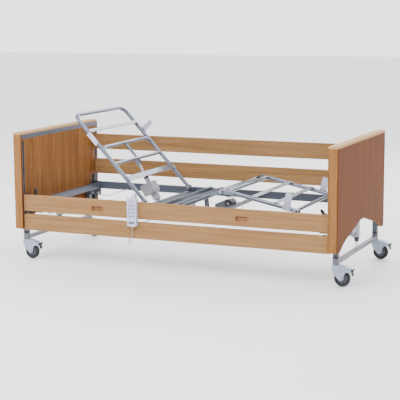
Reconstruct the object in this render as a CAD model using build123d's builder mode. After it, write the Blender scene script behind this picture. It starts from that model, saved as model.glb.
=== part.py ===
from build123d import *
import os
from math import cos, pi, radians, sin, sqrt, tan

os.makedirs("parts", exist_ok=True)

# Adjustable homecare bed: two wooden ends that lift on castored legs, a three-section
# steel deck, and two wooden side rails on each side. Millimetres, +Z up, head towards -X.

# --- overall sizes ---
LENGTH = 2180.0  # over the two ends
WIDTH = 1020.0  # over the ends
END_TOP = 834.0  # top of the ends, lowest bed position
END_BOTTOM = 210.0
END_DEPTH = 60.0
LIFT_TRAVEL = 400.0

# --- ends ---
SHELL_FACE = 18.0  # outer board
SHELL_EDGE = 16.0  # returned edges
SHELL_CORNER = 13.0
CAP_HEIGHT = 14.0
INNER_BOARD = 12.0
INNER_BOARD_BOTTOM = 350.0
BAND_HEIGHT = 42.0  # steel band under the cap
ARCH_HALF = 445.0
ARCH_RISE = 125.0
ARCH_SHOULDER = 0.45  # share of the half width
SHOULDER_RISE = 0.68  # share of the rise
ARCH_SLOPE = 0.75  # at the foot of the arch

# --- legs and castors ---
SLEEVE = 30.0
LEG = 25.0
TUBE_WALL = 2.0
LEG_SET_IN = 90.0  # legs' middles inside the ends' edges
LEG_SPREAD = WIDTH / 2 - LEG_SET_IN
SLEEVE_BOTTOM = 178.0
BUSH_HEIGHT = 10.0
BLOCK = 33.0
BLOCK_BOTTOM = 127.0
BLOCK_TOP = 165.0
WHEEL_R = 50.0
WHEEL_WIDTH = 30.0
TRAIL = 40.0
FORK_INNER = 17.0
FORK_OUTER = 20.5
STEM_R = 5.5
AXLE_R = 4.0
RUNNING = 0.05  # radial running clearance
PEDAL_TIP = 114.0  # pedal reach from the stem

# --- side rails ---
BOARD_HEIGHT = 107.0
BOARD_THICK = 22.0
BOARD_INSET = 18.0  # board face behind the end's edge
BOARD_GAP = 2.0  # board end to the end's inner face
RAISED_TOP = 734.0
RAISED_GAP = 70.0
LOWERED_BOTTOM = 201.0
LOWERED_GAP = 17.5
GUIDE_WIDTH = 26.0
GUIDE_DEPTH = 22.0
SLOT_WIDTH = 14.0
SLOT_DEPTH = 17.0
TONGUE = 12.0
GRIP_LENGTH = 100.0
GRIP_HEIGHT = 46.0
GRIP_X = 490.0
FINGER_DEPTH = 12.0

# --- deck ---
DECK_TOP = 401.0
BEAM_HEIGHT = 50.0
BEAM_WIDTH = 25.0
BEAM_SET_IN = 105.0  # beams' inner faces inside the ends' edges
BEAM_INNER = WIDTH / 2 - BEAM_SET_IN
BEAM_SHORT = 25.0  # beam's end to the end's inner face
BEAM_REACH = LENGTH / 2 - END_DEPTH - BEAM_SHORT
BACK_TUBE = 25.0
TUBE_R = BACK_TUBE / 2
CROSS_TUBE = 22.0
SECTION_SET_IN = 54.0  # thigh tubes' middles inside the beams
SECTION_HALF = BEAM_INNER - SECTION_SET_IN
BACK_SET_IN = 70.0
BACK_HALF = BEAM_INNER - BACK_SET_IN

# --- section angles and lengths at rest ---
BACK_HINGE_X = -232.0
BACK_HINGE_Z = 412.0
BACK_ANGLE = 46.8
BACK_LENGTH = 727.0
THIGH_HINGE_X = 45.0
THIGH_HINGE_Z = 408.0
THIGH_ANGLE = 21.6
THIGH_LENGTH = 271.0
LEG_ANGLE = 11.5
LEG_LENGTH = 512.0
LEG_RISE = 8.0  # leg tubes above the knee bolt

# --- handset ---
HANDSET_WIDTH = 66.0
HANDSET_HEIGHT = 178.0
HANDSET_THICK = 27.0
HANDSET_X = -235.0
HANDSET_GAP = 1.5

# --- rail details ---
BOARD_ROUND = 6.0
GRIP_DEPTH = 14.0
GRIP_PLAY = 0.3
GRIP_RIM = 10.0
GRIP_DROP = 5.0  # grip's middle below the board's middle

# --- end frame details ---
PLATE = 6.0
PLATE_REACH = 82.0  # corner plate inside the end's inner face
PLATE_BOTTOM = 304.0
LEVER_SHORT = 30.0  # clamp bolt to the end's inner face
LEVER_X = LENGTH / 2 - END_DEPTH - LEVER_SHORT
LEVER_Z = 376.0
LEVER_BOLT_R = 5.0
LEVER_LENGTH = 85.0
LEVER_TILT = 35.0  # the foot levers lean inwards
STEM_LENGTH = 26.0
CROSS_BAR_DEPTH = 26.0
CROSS_BAR_BOTTOM = 129.0
CROSS_BAR_TOP = 151.0
ROD_R = 7.0
ROD_PLAY = 0.8
LIFT_TUBE_R = 12.5
LIFT_BOX_BOTTOM = 222.0
LIFT_BOX_TOP = 342.0
LIFT_BOX_HALF = 29.0
LIFT_BOX_DEPTH = 46.0
LIFT_BOX_OFFSET = 8.0  # housing stands this far inside the legs' plane
LIFT_MOTOR_R = 23.0
LIFT_MOTOR_LENGTH = 118.0
BOOT_BOTTOM = 192.0
LIFT_ROD_TOP = CROSS_BAR_TOP + LIFT_TRAVEL + 60

# --- castor details ---
PIVOT_U = 99.0  # pedal pivot from the stem
PIVOT_H = 95.0
HOOD_GAP = 4.0
PEDAL_PIN_R = 3.0
PEDAL_HALF = 13.0

# --- deck details ---
BEAM_BOTTOM = DECK_TOP - BEAM_HEIGHT
CROSSBAR_SHORT = 70.0  # end cross-bar to the end's inner face
CROSSBAR_X = LENGTH / 2 - END_DEPTH - CROSSBAR_SHORT
HINGE_BAR = 30.0
SEAT_BARS = (-93.0, -12.0)
SEAT_BAR_DEPTH = 22.0
SEAT_BAR_BOTTOM = DECK_TOP - 12
SEAT_BAR_HEIGHT = 24.0
MOTOR_BAR_HEIGHT = 20.0
MOTOR_BAR_DEPTH = 20.0
BOLT_R = 5.0
EAR = 6.0
WELD = 3.0  # a cross-bar stops this far short of the tube's middle
PRESS = 1.0  # a flat bar's bed in the tubes' upper side
EYE_R = TUBE_R + 0.5
EYE_REACH = TUBE_R - 0.5  # half an eye's length
BACK_EAR_GAP = 5.5
BACK_EAR_Y = BACK_HALF + TUBE_R + BACK_EAR_GAP + EAR / 2
THIGH_EAR_GAP = 4.0
THIGH_EAR_Y = SECTION_HALF + TUBE_R + THIGH_EAR_GAP + EAR / 2
BACK_BARS = {"upper": 582.0, "bow": 449.0, "middle": 313.0, "lower": 180.0}
BOW_CORNER = 60.0
BOW_LEG = 34.0  # the inner bow slants over this length to the side tubes
INNER_BOW_CORNER = 60.0
LUG = 6.0
LEG_BOW = 40.0  # leg bow's cross tube from the knee
KNEE_BITE = 5.5  # the knee plate's weld into the tube's side
KNEE_PLATE_Y = SECTION_HALF + TUBE_R + LUG / 2 - KNEE_BITE
KNEE_GAP = 2.5
LUG_BITE = 1.0
LEG_HALF = KNEE_PLATE_Y - LUG / 2 - KNEE_GAP - LUG + LUG_BITE - TUBE_R
LEG_BARS = (210.0, 358.0)
LEG_RETAINER_S = 432.0

# --- deck drives: pivots at rest ---
BACK_MOTOR_X = -290.0
BACK_MOTOR_Z = 345.0
BACK_EYE_S = 281.0  # along the backrest
BACK_EYE_N = -21.5  # below the backrest's tubes
THIGH_MOTOR_X = 215.0
THIGH_MOTOR_Z = 380.0
THIGH_EYE_X = 55.0
THIGH_EYE_Z = 320.0
THIGH_MOTOR_BAR_X = 252.0

# --- drive bodies, measured along each drive from its pivot ---
HOUSING_START = 78.0
HOUSING_END = 158.0
HOUSING_TOP = 33.0  # passes under the backrest's lower bar when it lies flat
HOUSING_UNDER = 55.0
HOUSING_HALF = 40.0
HOUSING_CORNER = 14.0
BACK_SLEEVE_LENGTH = 198.0
BACK_BORE_START = 24.0
BACK_ROD_START = 110.0
BACK_ROD_R = 8.0
THIGH_HOUSING_END = 98.0
THIGH_BORE_START = 18.0
THIGH_ROD_START = 50.0
THIGH_ROD_R = 7.0

# --- section details ---
CLEVIS_Y = 11.5
DRIVE_EAR = 5.0
DRIVE_EAR_R = 12.0
EYE_HALF = 5.0
BACK_TAIL_HALF = 16.0
THIGH_TAIL_HALF = 36.0
THIGH_DISC_R = 27.0
MOTOR_GLAND_TILT = 10.0
RETAINER = 4.0
THIGH_TUBE_SHORT = 31.0
THIGH_BAR_S = 228.0
THIGH_SLAT_S = 120.0
LEG_CORNER = 34.0
ROLLER_R = 8.0
ROLLER_REACH = BEAM_INNER + 22

# --- control box ---
BOX_X = -58.0
BOX_Y = -118.0
BOX_LENGTH = 104.0
BOX_WIDTH = 136.0
BOX_BOTTOM = 322.0
INLET_WIDTH = 28.0  # mains inlet
INLET_HEIGHT = 20.0
INLET_DEPTH = 14.0

# --- clamp levers and handset details ---
LEVER_GAP = 0.5
LEVER_THICK = 15.0
HANDSET_ABOVE = 27.0  # handset's top above the board's top
HOOK_WIDTH = 24.0
HOOK_PLAY = 0.5
KEY_WIDTH = 46.0
KEY_HEIGHT = 15.0
KEY_PLAY = 0.6
KEY_PROUD = 1.0  # keys stand out of the handset's face
KEY_DEPTH = 4.0  # underside behind the face
KEY_RIDGE_R = 2.5  # half-round ridge that each key rocks on
KEY_DISH = 0.2  # middle of a key's face stands this far out
KEY_POCKET = 8.0
KEY_FIRST = 62.0
KEY_PITCH = 24.0

# --- cables ---
CORD = 5.0  # diameter of each cable
GLAND_R = 5.0
GROMMET_X = LENGTH / 2 - END_DEPTH - 73  # head cable's way through the corner plate
GROMMET_Z = 327.0
CLIP_X = -731.0  # head cable's way into the far beam
CLIP_Z = 358.0
GLAND = 8.0  # a gland's length
CABLE_EXIT_Z = 345.0  # glands on the control box
CABLE_FILL = 0.45  # share of a run that each arc takes

# --- where the bed stands in its frame: the box's bottom centre is the origin ---
LEG_X = LENGTH / 2 - SHELL_FACE - SLEEVE / 2
HANDSET_FRONT = WIDTH / 2 - BOARD_INSET + HANDSET_GAP + HANDSET_THICK + KEY_PROUD
CX = (LENGTH / 2 - (LEG_X + PEDAL_TIP)) / 2
CY = (HANDSET_FRONT - WIDTH / 2) / 2

ENDS = {"head": -1, "foot": 1}
SIDES = {"near": -1, "far": 1}
INNER_FACE = LENGTH / 2 - END_DEPTH
BODY_TOP = END_TOP - CAP_HEIGHT
BOARD_Y = WIDTH / 2 - BOARD_INSET - BOARD_THICK / 2
RAISED = {"upper": RAISED_TOP - BOARD_HEIGHT, "lower": RAISED_TOP - 2 * BOARD_HEIGHT - RAISED_GAP}
LOWERED = {"upper": LOWERED_BOTTOM + BOARD_HEIGHT + LOWERED_GAP, "lower": LOWERED_BOTTOM}


def at(x, y, z):
    """A point given from the middle of the bed, in the part's frame."""
    return (CX + x, CY + y, z)


def save(piece, name):
    piece.part.label = name
    export_step(piece.part, f"parts/{name}.step")


def cut_box(x, y, z):
    """Takes away a box between pairs of limits given from the middle of the bed."""
    size = [v[1] - v[0] for v in (x, y, z)]
    middle = [(v[1] + v[0]) / 2 for v in (x, y, z)]
    with Locations(at(*middle)):
        Box(*size, mode=Mode.SUBTRACT)


def add_box(x, y, z):
    """Adds a box between pairs of limits given from the middle of the bed."""
    size = [abs(v[1] - v[0]) for v in (x, y, z)]
    middle = [(v[1] + v[0]) / 2 for v in (x, y, z)]
    with Locations(at(*middle)):
        Box(*size)


def span(a, b, sign):
    """Two limits on the side that sign gives, lowest first."""
    return tuple(sorted((sign * a, sign * b)))


# --- wooden ends ---
def end_panel(side):
    """A postformed board with returned edges and a bell-shaped arch below."""
    with BuildPart() as panel:
        with BuildSketch(Plane.XY.offset(END_BOTTOM)):
            with Locations((CX + side * (LENGTH - END_DEPTH) / 2, CY)):
                Rectangle(END_DEPTH, WIDTH)
        extrude(amount=BODY_TOP - END_BOTTOM)
        outer = panel.edges().filter_by(Axis.Z).group_by(Axis.X)[0 if side < 0 else -1]
        fillet(outer, radius=SHELL_CORNER)
        inside = LENGTH / 2 - SHELL_FACE
        cut_box(
            span(INNER_FACE - 1, inside, side),
            (-WIDTH / 2 + SHELL_EDGE, WIDTH / 2 - SHELL_EDGE),
            (END_BOTTOM - 1, BODY_TOP + 1),
        )
        with BuildSketch(Plane.YZ.offset(CX + side * (INNER_FACE - 1))):
            with BuildLine():
                shoulder = (CY - ARCH_SHOULDER * ARCH_HALF, END_BOTTOM + SHOULDER_RISE * ARCH_RISE)
                other = (CY + ARCH_SHOULDER * ARCH_HALF, END_BOTTOM + SHOULDER_RISE * ARCH_RISE)
                crown = (CY, END_BOTTOM + ARCH_RISE)
                left = (CY - ARCH_HALF, END_BOTTOM)
                right = (CY + ARCH_HALF, END_BOTTOM)
                slope = ((1, ARCH_SLOPE), (1, -ARCH_SLOPE))
                Spline(left, shoulder, crown, other, right, tangents=slope)
                Polyline(right, (right[0], END_BOTTOM - 5), (left[0], END_BOTTOM - 5), left)
            make_face()
        extrude(amount=side * (END_DEPTH + 2), mode=Mode.SUBTRACT)
    return panel


for end, side in ENDS.items():
    panel = end_panel(side)
    save(panel, f"{end}_panel")

with BuildPart() as inner_boards:
    for side in ENDS.values():
        edge = WIDTH / 2 - SHELL_EDGE - GUIDE_WIDTH
        add_box(
            span(INNER_FACE, INNER_FACE + INNER_BOARD, side),
            (-edge, edge),
            (INNER_BOARD_BOTTOM, BODY_TOP - BAND_HEIGHT),
        )
save(inner_boards, "inner_boards")

with BuildPart() as top_caps:
    for side in ENDS.values():
        with BuildSketch(Plane.XY.offset(BODY_TOP)):
            with Locations((CX + side * (LENGTH - END_DEPTH) / 2, CY)):
                RectangleRounded(END_DEPTH, WIDTH, 8)
        extrude(amount=CAP_HEIGHT)
    fillet(top_caps.faces().filter_by(Axis.Z).group_by(Axis.Z)[-1].edges(), radius=5)
save(top_caps, "top_caps")

GUIDE_OUT = WIDTH / 2 - SHELL_EDGE
with BuildPart() as rail_guides:
    for side in ENDS.values():
        for flank in SIDES.values():
            add_box(
                span(INNER_FACE, INNER_FACE + GUIDE_DEPTH, side),
                span(GUIDE_OUT - GUIDE_WIDTH, GUIDE_OUT, flank),
                (LOWERED_BOTTOM + 4, BODY_TOP - BAND_HEIGHT),
            )
            cut_box(
                span(INNER_FACE - 1, INNER_FACE + SLOT_DEPTH, side),
                span(BOARD_Y - SLOT_WIDTH / 2, BOARD_Y + SLOT_WIDTH / 2, flank),
                (LOWERED_BOTTOM, BODY_TOP),
            )
save(rail_guides, "rail_guides")


def gland(x, y, z, way):
    """A cable gland that stands out from a face at (x, y, z)."""
    with BuildSketch(Plane(origin=at(x, y, z), z_dir=way)) as ring:
        Circle(GLAND_R)
    extrude(ring.sketch, amount=GLAND)
    extrude(ring.sketch, amount=-2)


# --- steel end frames, legs and lift drives ---
def end_frame(side):
    """Two square sleeves, a top tube with its band, and the plates that carry the deck."""
    with BuildPart() as frame:
        for flank in SIDES.values():
            add_box(
                span(LEG_X - SLEEVE / 2, LEG_X + SLEEVE / 2, side),
                span(LEG_SPREAD - SLEEVE / 2, LEG_SPREAD + SLEEVE / 2, flank),
                (SLEEVE_BOTTOM, BODY_TOP),
            )
        add_box(
            span(LEG_X - SLEEVE / 2, LEG_X + SLEEVE / 2, side),
            (-LEG_SPREAD, LEG_SPREAD),
            (BODY_TOP - SLEEVE, BODY_TOP),
        )
        band = WIDTH / 2 - SHELL_EDGE
        add_box(
            span(INNER_FACE, INNER_FACE + INNER_BOARD, side),
            (-band, band),
            (BODY_TOP - BAND_HEIGHT, BODY_TOP),
        )
        for flank in SIDES.values():
            plate_y = span(BEAM_INNER - PLATE, BEAM_INNER, flank)
            add_box(
                span(INNER_FACE - PLATE_REACH, LEG_X + SLEEVE / 2, side),
                plate_y,
                (PLATE_BOTTOM, INNER_BOARD_BOTTOM - 2),
            )
            add_box(
                span(INNER_FACE - PLATE_REACH, INNER_FACE - 4, side),
                plate_y,
                (PLATE_BOTTOM, DECK_TOP + 3),
            )
            inside = SLEEVE / 2 - TUBE_WALL
            cut_box(
                span(LEG_X - inside, LEG_X + inside, side),
                span(LEG_SPREAD - inside, LEG_SPREAD + inside, flank),
                (SLEEVE_BOTTOM - 1, BODY_TOP - SLEEVE),
            )
            with Locations(Plane(origin=at(side * LEVER_X, flank * BEAM_INNER, LEVER_Z), z_dir=(0, 1, 0))):
                Cylinder(LEVER_BOLT_R + RUNNING, 4 * PLATE, mode=Mode.SUBTRACT)
        if side < 0:
            gland(side * GROMMET_X, BEAM_INNER - PLATE, GROMMET_Z, (0, -1, 0))
    return frame


def leg_frame(side):
    """Two inner legs on end blocks, joined by the low cross-bar that the lift rod pushes."""
    with BuildPart() as legs:
        for flank in SIDES.values():
            add_box(
                span(LEG_X - LEG / 2, LEG_X + LEG / 2, side),
                span(LEG_SPREAD - LEG / 2, LEG_SPREAD + LEG / 2, flank),
                (BLOCK_TOP, BODY_TOP - SLEEVE - 10),
            )
            inside = LEG / 2 - TUBE_WALL
            cut_box(
                span(LEG_X - inside, LEG_X + inside, side),
                span(LEG_SPREAD - inside, LEG_SPREAD + inside, flank),
                (BLOCK_TOP + 4, BODY_TOP - SLEEVE),
            )
            with BuildSketch(Plane.XY.offset(BLOCK_BOTTOM)):
                with Locations((CX + side * LEG_X, CY + flank * LEG_SPREAD)):
                    RectangleRounded(BLOCK, BLOCK, 4)
            extrude(amount=BLOCK_TOP - BLOCK_BOTTOM)
            with Locations(at(side * LEG_X, flank * LEG_SPREAD, BLOCK_BOTTOM + STEM_LENGTH / 2)):
                Cylinder(STEM_R + RUNNING, STEM_LENGTH + 2, mode=Mode.SUBTRACT)
        add_box(
            span(LEG_X - CROSS_BAR_DEPTH / 2, LEG_X + CROSS_BAR_DEPTH / 2, side),
            (-LEG_SPREAD + BLOCK / 2, LEG_SPREAD - BLOCK / 2),
            (CROSS_BAR_BOTTOM, CROSS_BAR_TOP),
        )
    return legs


for end, side in ENDS.items():
    frame = end_frame(side)
    save(frame, f"{end}_end_frame")
    legs = leg_frame(side)
    save(legs, f"{end}_leg_frame")
    with BuildPart() as lift_rod:
        with Locations(at(side * LEG_X, 0, (CROSS_BAR_TOP + LIFT_ROD_TOP) / 2)):
            Cylinder(ROD_R, LIFT_ROD_TOP - CROSS_BAR_TOP)
    save(lift_rod, f"{end}_lift_rod")

with BuildPart() as lift_motors:
    for side in ENDS.values():
        with BuildSketch(Plane.XY.offset(LIFT_BOX_BOTTOM)):
            with Locations((CX + side * (LEG_X - LIFT_BOX_OFFSET), CY)):
                RectangleRounded(LIFT_BOX_DEPTH, 2 * LIFT_BOX_HALF, 12)
        extrude(amount=LIFT_BOX_TOP - LIFT_BOX_BOTTOM)
        motor = Plane(
            origin=at(side * (LEG_X - LIFT_BOX_OFFSET), -LIFT_BOX_HALF + 4, LIFT_BOX_BOTTOM + 50),
            z_dir=(0, -1, 0),
        )
        with BuildSketch(motor):
            Circle(LIFT_MOTOR_R)
        extrude(amount=LIFT_MOTOR_LENGTH)
        with Locations(at(side * LEG_X, 0, (LIFT_BOX_TOP + LIFT_ROD_TOP + 8) / 2)):
            Cylinder(LIFT_TUBE_R, LIFT_ROD_TOP + 8 - LIFT_BOX_TOP)
        with Locations(at(side * LEG_X, 0, (LIFT_BOX_BOTTOM + LIFT_ROD_TOP) / 2)):
            Cylinder(ROD_R + ROD_PLAY, LIFT_ROD_TOP - LIFT_BOX_BOTTOM + 4, mode=Mode.SUBTRACT)
save(lift_motors, "lift_motors")

with BuildPart() as lift_boots:
    for side in ENDS.values():
        with BuildSketch(Plane(origin=at(side * LEG_X, 0, 0), x_dir=(0, 1, 0), z_dir=(1, 0, 0))):
            with BuildLine():
                Polyline(
                    (ROD_R + ROD_PLAY, BOOT_BOTTOM),
                    (ROD_R + 4, BOOT_BOTTOM),
                    (16, LIFT_BOX_BOTTOM - 12),
                    (16, LIFT_BOX_BOTTOM),
                    (ROD_R + ROD_PLAY, LIFT_BOX_BOTTOM),
                    close=True,
                )
            make_face()
        revolve(axis=Axis(at(side * LEG_X, 0, 0), (0, 0, 1)))
save(lift_boots, "lift_boots")

with BuildPart() as leg_bushes:
    for side in ENDS.values():
        for flank in SIDES.values():
            with BuildSketch(Plane.XY.offset(SLEEVE_BOTTOM - BUSH_HEIGHT)):
                with Locations((CX + side * LEG_X, CY + flank * LEG_SPREAD)):
                    RectangleRounded(SLEEVE + 2, SLEEVE + 2, 3)
                    Rectangle(LEG + 0.8, LEG + 0.8, mode=Mode.SUBTRACT)
            extrude(amount=BUSH_HEIGHT)
save(leg_bushes, "leg_bushes")


# --- castors ---
def castor_plane(side, flank, offset=0.0):
    """An upright plane through the stem: x runs towards the foot, y up."""
    origin = at(side * LEG_X, flank * LEG_SPREAD + offset, 0)
    return Plane(origin=origin, x_dir=(1, 0, 0), z_dir=(0, -1, 0))


def castor_fork(side, flank):
    """A pressed hood with its stem, and the axle as a second solid."""
    middle = castor_plane(side, flank)
    top = BLOCK_BOTTOM - 0.5
    with BuildPart() as fork:
        with BuildSketch(middle):
            with BuildLine():
                Polyline((20, top), (-17, top), (-19, 100), (-6, 72), (25, 40), (38, 35), (52, 45))
                Polyline((52, 45), (55, 74), (66, 90), (PIVOT_U - 4, 87), (PIVOT_U + 6, 94), (92, 104))
                ThreePointArc((92, 104), (58, 119.5), (20, top))
            make_face()
        extrude(amount=FORK_OUTER, both=True)
        with BuildSketch(middle):
            with Locations((TRAIL, WHEEL_R)):
                Circle(WHEEL_R + HOOD_GAP)
            with Locations((TRAIL, 10)):
                Rectangle(2 * (WHEEL_R + HOOD_GAP), 80)
            with Locations((PIVOT_U + 3, PIVOT_H)):
                Rectangle(28, 26)
        extrude(amount=FORK_INNER, both=True, mode=Mode.SUBTRACT)
        for u, h, r in ((TRAIL, WHEEL_R, AXLE_R), (PIVOT_U, PIVOT_H, PEDAL_PIN_R + RUNNING)):
            with BuildSketch(middle):
                with Locations((u, h)):
                    Circle(r)
            extrude(amount=FORK_OUTER + 1, both=True, mode=Mode.SUBTRACT)
        with BuildSketch(Plane.XY.offset(top)):
            with Locations((CX + side * LEG_X, CY + flank * LEG_SPREAD)):
                Circle(STEM_R)
        extrude(amount=STEM_LENGTH - 2)
        with BuildSketch(middle):
            with Locations((TRAIL, WHEEL_R)):
                Circle(AXLE_R)
        extrude(amount=FORK_OUTER + 2.5, both=True)
    return fork


def castor_wheel(side, flank):
    """Tyre, web and hub turned as one section, bored for the axle."""
    hub = FORK_INNER - 0.6
    centre = at(side * LEG_X + TRAIL, flank * LEG_SPREAD, WHEEL_R)
    with BuildPart() as wheel:
        with BuildSketch(Plane(origin=centre, x_dir=(1, 0, 0), z_dir=(0, 0, 1))):
            with BuildLine():
                half = WHEEL_WIDTH / 2
                Polyline((AXLE_R + RUNNING, -hub), (12, -hub), (15, -7), (33, -7), (36, -half + 2))
                Line((36, -half + 2), (44, -half + 2))
                ThreePointArc((44, -half + 2), (WHEEL_R, 0), (44, half - 2))
                Polyline((44, half - 2), (36, half - 2), (33, 7), (15, 7), (12, hub))
                Polyline((12, hub), (AXLE_R + RUNNING, hub), (AXLE_R + RUNNING, -hub))
            make_face()
        revolve(axis=Axis(centre, (0, 1, 0)))
    return wheel


def castor_pedal(side, flank):
    """The brake pedal: a hub on its pin with an upper and a lower toe tab."""
    middle = castor_plane(side, flank)
    with BuildPart() as pedal:
        with BuildSketch(middle):
            with Locations((PIVOT_U, PIVOT_H)):
                Circle(6)
            with BuildLine():
                Polyline((PIVOT_U - 2, PIVOT_H + 4), (PEDAL_TIP - 3, 113), (PEDAL_TIP, 109), close=False)
                Polyline((PEDAL_TIP, 109), (PIVOT_U + 5, PIVOT_H - 2), (107, 69), (102, 67))
                Polyline((102, 67), (PIVOT_U - 3, PIVOT_H - 3), (PIVOT_U - 2, PIVOT_H + 4))
            make_face()
        extrude(amount=PEDAL_HALF, both=True)
        with BuildSketch(middle):
            with Locations((PIVOT_U, PIVOT_H)):
                Circle(PEDAL_PIN_R)
        extrude(amount=FORK_OUTER, both=True)
    return pedal


for end, side in ENDS.items():
    for near, flank in SIDES.items():
        fork = castor_fork(side, flank)
        save(fork, f"{near}_{end}_castor_fork")
        wheel = castor_wheel(side, flank)
        save(wheel, f"{near}_{end}_castor_wheel")
        pedal = castor_pedal(side, flank)
        save(pedal, f"{near}_{end}_brake_pedal")


# --- side rails ---
def grip_middle(bottom):
    return bottom + BOARD_HEIGHT / 2 - GRIP_DROP


def grip_box(side, flank, bottom, margin, depth):
    """Limits of a grip's pocket in the board's outer face, less a margin all round."""
    outer = BOARD_Y + BOARD_THICK / 2
    half = GRIP_LENGTH / 2 - margin
    middle = grip_middle(bottom)
    tall = GRIP_HEIGHT / 2 - margin
    x = (side * GRIP_X - half, side * GRIP_X + half)
    return x, span(outer - depth, outer, flank), (middle - tall, middle + tall)


def rail_board(flank, bottom, has_grips):
    """A wooden board with rounded edges and a tongue at each end for the guides."""
    length = 2 * (INNER_FACE - BOARD_GAP)
    with BuildPart() as board:
        with BuildSketch(Plane.YZ.offset(CX - length / 2)):
            with Locations((CY + flank * BOARD_Y, bottom + BOARD_HEIGHT / 2)):
                RectangleRounded(BOARD_THICK, BOARD_HEIGHT, BOARD_ROUND)
        extrude(amount=length)
        for side in ENDS.values():
            add_box(
                span(length / 2, INNER_FACE + SLOT_DEPTH - 4, side),
                span(BOARD_Y - TONGUE / 2, BOARD_Y + TONGUE / 2, flank),
                (bottom + 8, bottom + BOARD_HEIGHT - 8),
            )
            if has_grips:
                cut_box(*grip_box(side, flank, bottom, 0, GRIP_DEPTH))
    return board


for near, flank in SIDES.items():
    heights = LOWERED if flank < 0 else RAISED
    for level, bottom in heights.items():
        board = rail_board(flank, bottom, level == "upper")
        save(board, f"{near}_{level}_board")
    with BuildPart() as grips:
        for side in ENDS.values():
            add_box(*grip_box(side, flank, heights["upper"], GRIP_PLAY, GRIP_DEPTH))
            cut_box(*grip_box(side, flank, heights["upper"], GRIP_RIM, FINGER_DEPTH))
    save(grips, f"{near}_grips")


# --- deck ---
with BuildPart() as near_side_beam:
    add_box((-BEAM_REACH, BEAM_REACH), (-BEAM_INNER - BEAM_WIDTH, -BEAM_INNER), (BEAM_BOTTOM, DECK_TOP))
    cut_box(
        (-BEAM_REACH - 1, BEAM_REACH + 1),
        (-BEAM_INNER - BEAM_WIDTH + TUBE_WALL, -BEAM_INNER - TUBE_WALL),
        (BEAM_BOTTOM + TUBE_WALL, DECK_TOP - TUBE_WALL),
    )
    for side in ENDS.values():
        with Locations(Plane(origin=at(side * LEVER_X, -BEAM_INNER, LEVER_Z), z_dir=(0, 1, 0))):
            Cylinder(LEVER_BOLT_R + RUNNING, 2 * TUBE_WALL + 1, mode=Mode.SUBTRACT)
save(near_side_beam, "near_side_beam")
with BuildPart() as far_side_beam:
    add(mirror(near_side_beam.part, about=Plane.XZ.offset(-CY)))
    gland(CLIP_X, BEAM_INNER, CLIP_Z, (0, -1, 0))
save(far_side_beam, "far_side_beam")


def deck_bar(x, bottom, height, depth):
    """A cross-bar between the side beams."""
    add_box((x - depth / 2, x + depth / 2), (-BEAM_INNER, BEAM_INNER), (bottom, bottom + height))


def side_plane(x, y, z, along, toward):
    """An upright plane along a section: x runs along the section, y out of its upper face."""
    return Plane(origin=at(x, y, z), x_dir=along, z_dir=(0, -toward, 0))


def section(x, z, angle, toward):
    """A section's direction and its upper plane, hinged at (x, z) and raised by angle."""
    turn = radians(angle)
    along = (toward * cos(turn), 0, sin(turn))
    normal = (-toward * sin(turn), 0, cos(turn))
    return along, Plane(origin=at(x, 0, z), x_dir=along, z_dir=normal)


def rod_along_y(plane_at, y0, y1, radius, mode=Mode.ADD):
    """A round bar across the bed, from y0 to y1."""
    x, z = plane_at
    with BuildSketch(Plane(origin=at(x, y0, z), z_dir=(0, 1, 0))) as disc:
        Circle(radius)
    extrude(disc.sketch, amount=y1 - y0, mode=mode)


def plate(plane, points, thick, mode=Mode.ADD):
    """A flat plate with the outline points, as thick as given about its plane."""
    with BuildSketch(plane) as outline:
        with BuildLine():
            Polyline(*points, close=True)
        make_face()
    extrude(outline.sketch, amount=thick / 2, both=True, mode=mode)


def hinge_ear(x, y, z, foot_x):
    """An upright lug with a bolt hole, standing on a foot about foot_x."""
    foot_z = BEAM_BOTTOM + 10
    flat = Plane(origin=at(0, y, 0), x_dir=(1, 0, 0), z_dir=(0, -1, 0))
    half = HINGE_BAR / 2
    plate(flat, [(foot_x - half, foot_z), (foot_x + half, foot_z), (x + EYE_R, z), (x - EYE_R, z)], EAR)
    rod_along_y((x, z), y - EAR / 2, y + EAR / 2, EYE_R)
    rod_along_y((x, z), y - EAR, y + EAR, BOLT_R, Mode.SUBTRACT)


def drive_ear(flat, y, foot, pivot):
    """A lug that runs from the foot's two points to a drive's pivot bolt."""
    x, z = pivot
    plate(flat, foot + [(x, z + DRIVE_EAR_R), (x, z - DRIVE_EAR_R)], DRIVE_EAR)
    rod_along_y(pivot, y - DRIVE_EAR / 2, y + DRIVE_EAR / 2, DRIVE_EAR_R)
    rod_along_y(pivot, y - DRIVE_EAR, y + DRIVE_EAR, BOLT_R, Mode.SUBTRACT)


BACK_ALONG, BACK_TOP = section(BACK_HINGE_X, BACK_HINGE_Z, BACK_ANGLE, -1)
THIGH_ALONG, THIGH_TOP = section(THIGH_HINGE_X, THIGH_HINGE_Z, THIGH_ANGLE, 1)
KNEE_X = THIGH_HINGE_X + THIGH_LENGTH * cos(radians(THIGH_ANGLE))
KNEE_Z = THIGH_HINGE_Z + THIGH_LENGTH * sin(radians(THIGH_ANGLE))
LEG_ALONG, LEG_TOP = section(KNEE_X, KNEE_Z, -LEG_ANGLE, 1)


def on_back(s, n):
    """A point s along the backrest and n above its tubes, seen from the side."""
    turn = radians(BACK_ANGLE)
    x = BACK_HINGE_X - s * cos(turn) + n * sin(turn)
    z = BACK_HINGE_Z + s * sin(turn) + n * cos(turn)
    return x, z


def across(point, y=0.0):
    """A side view's point, placed across the bed."""
    return point[0], y, point[1]


BACK_EYE = on_back(BACK_EYE_S, BACK_EYE_N)

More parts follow.
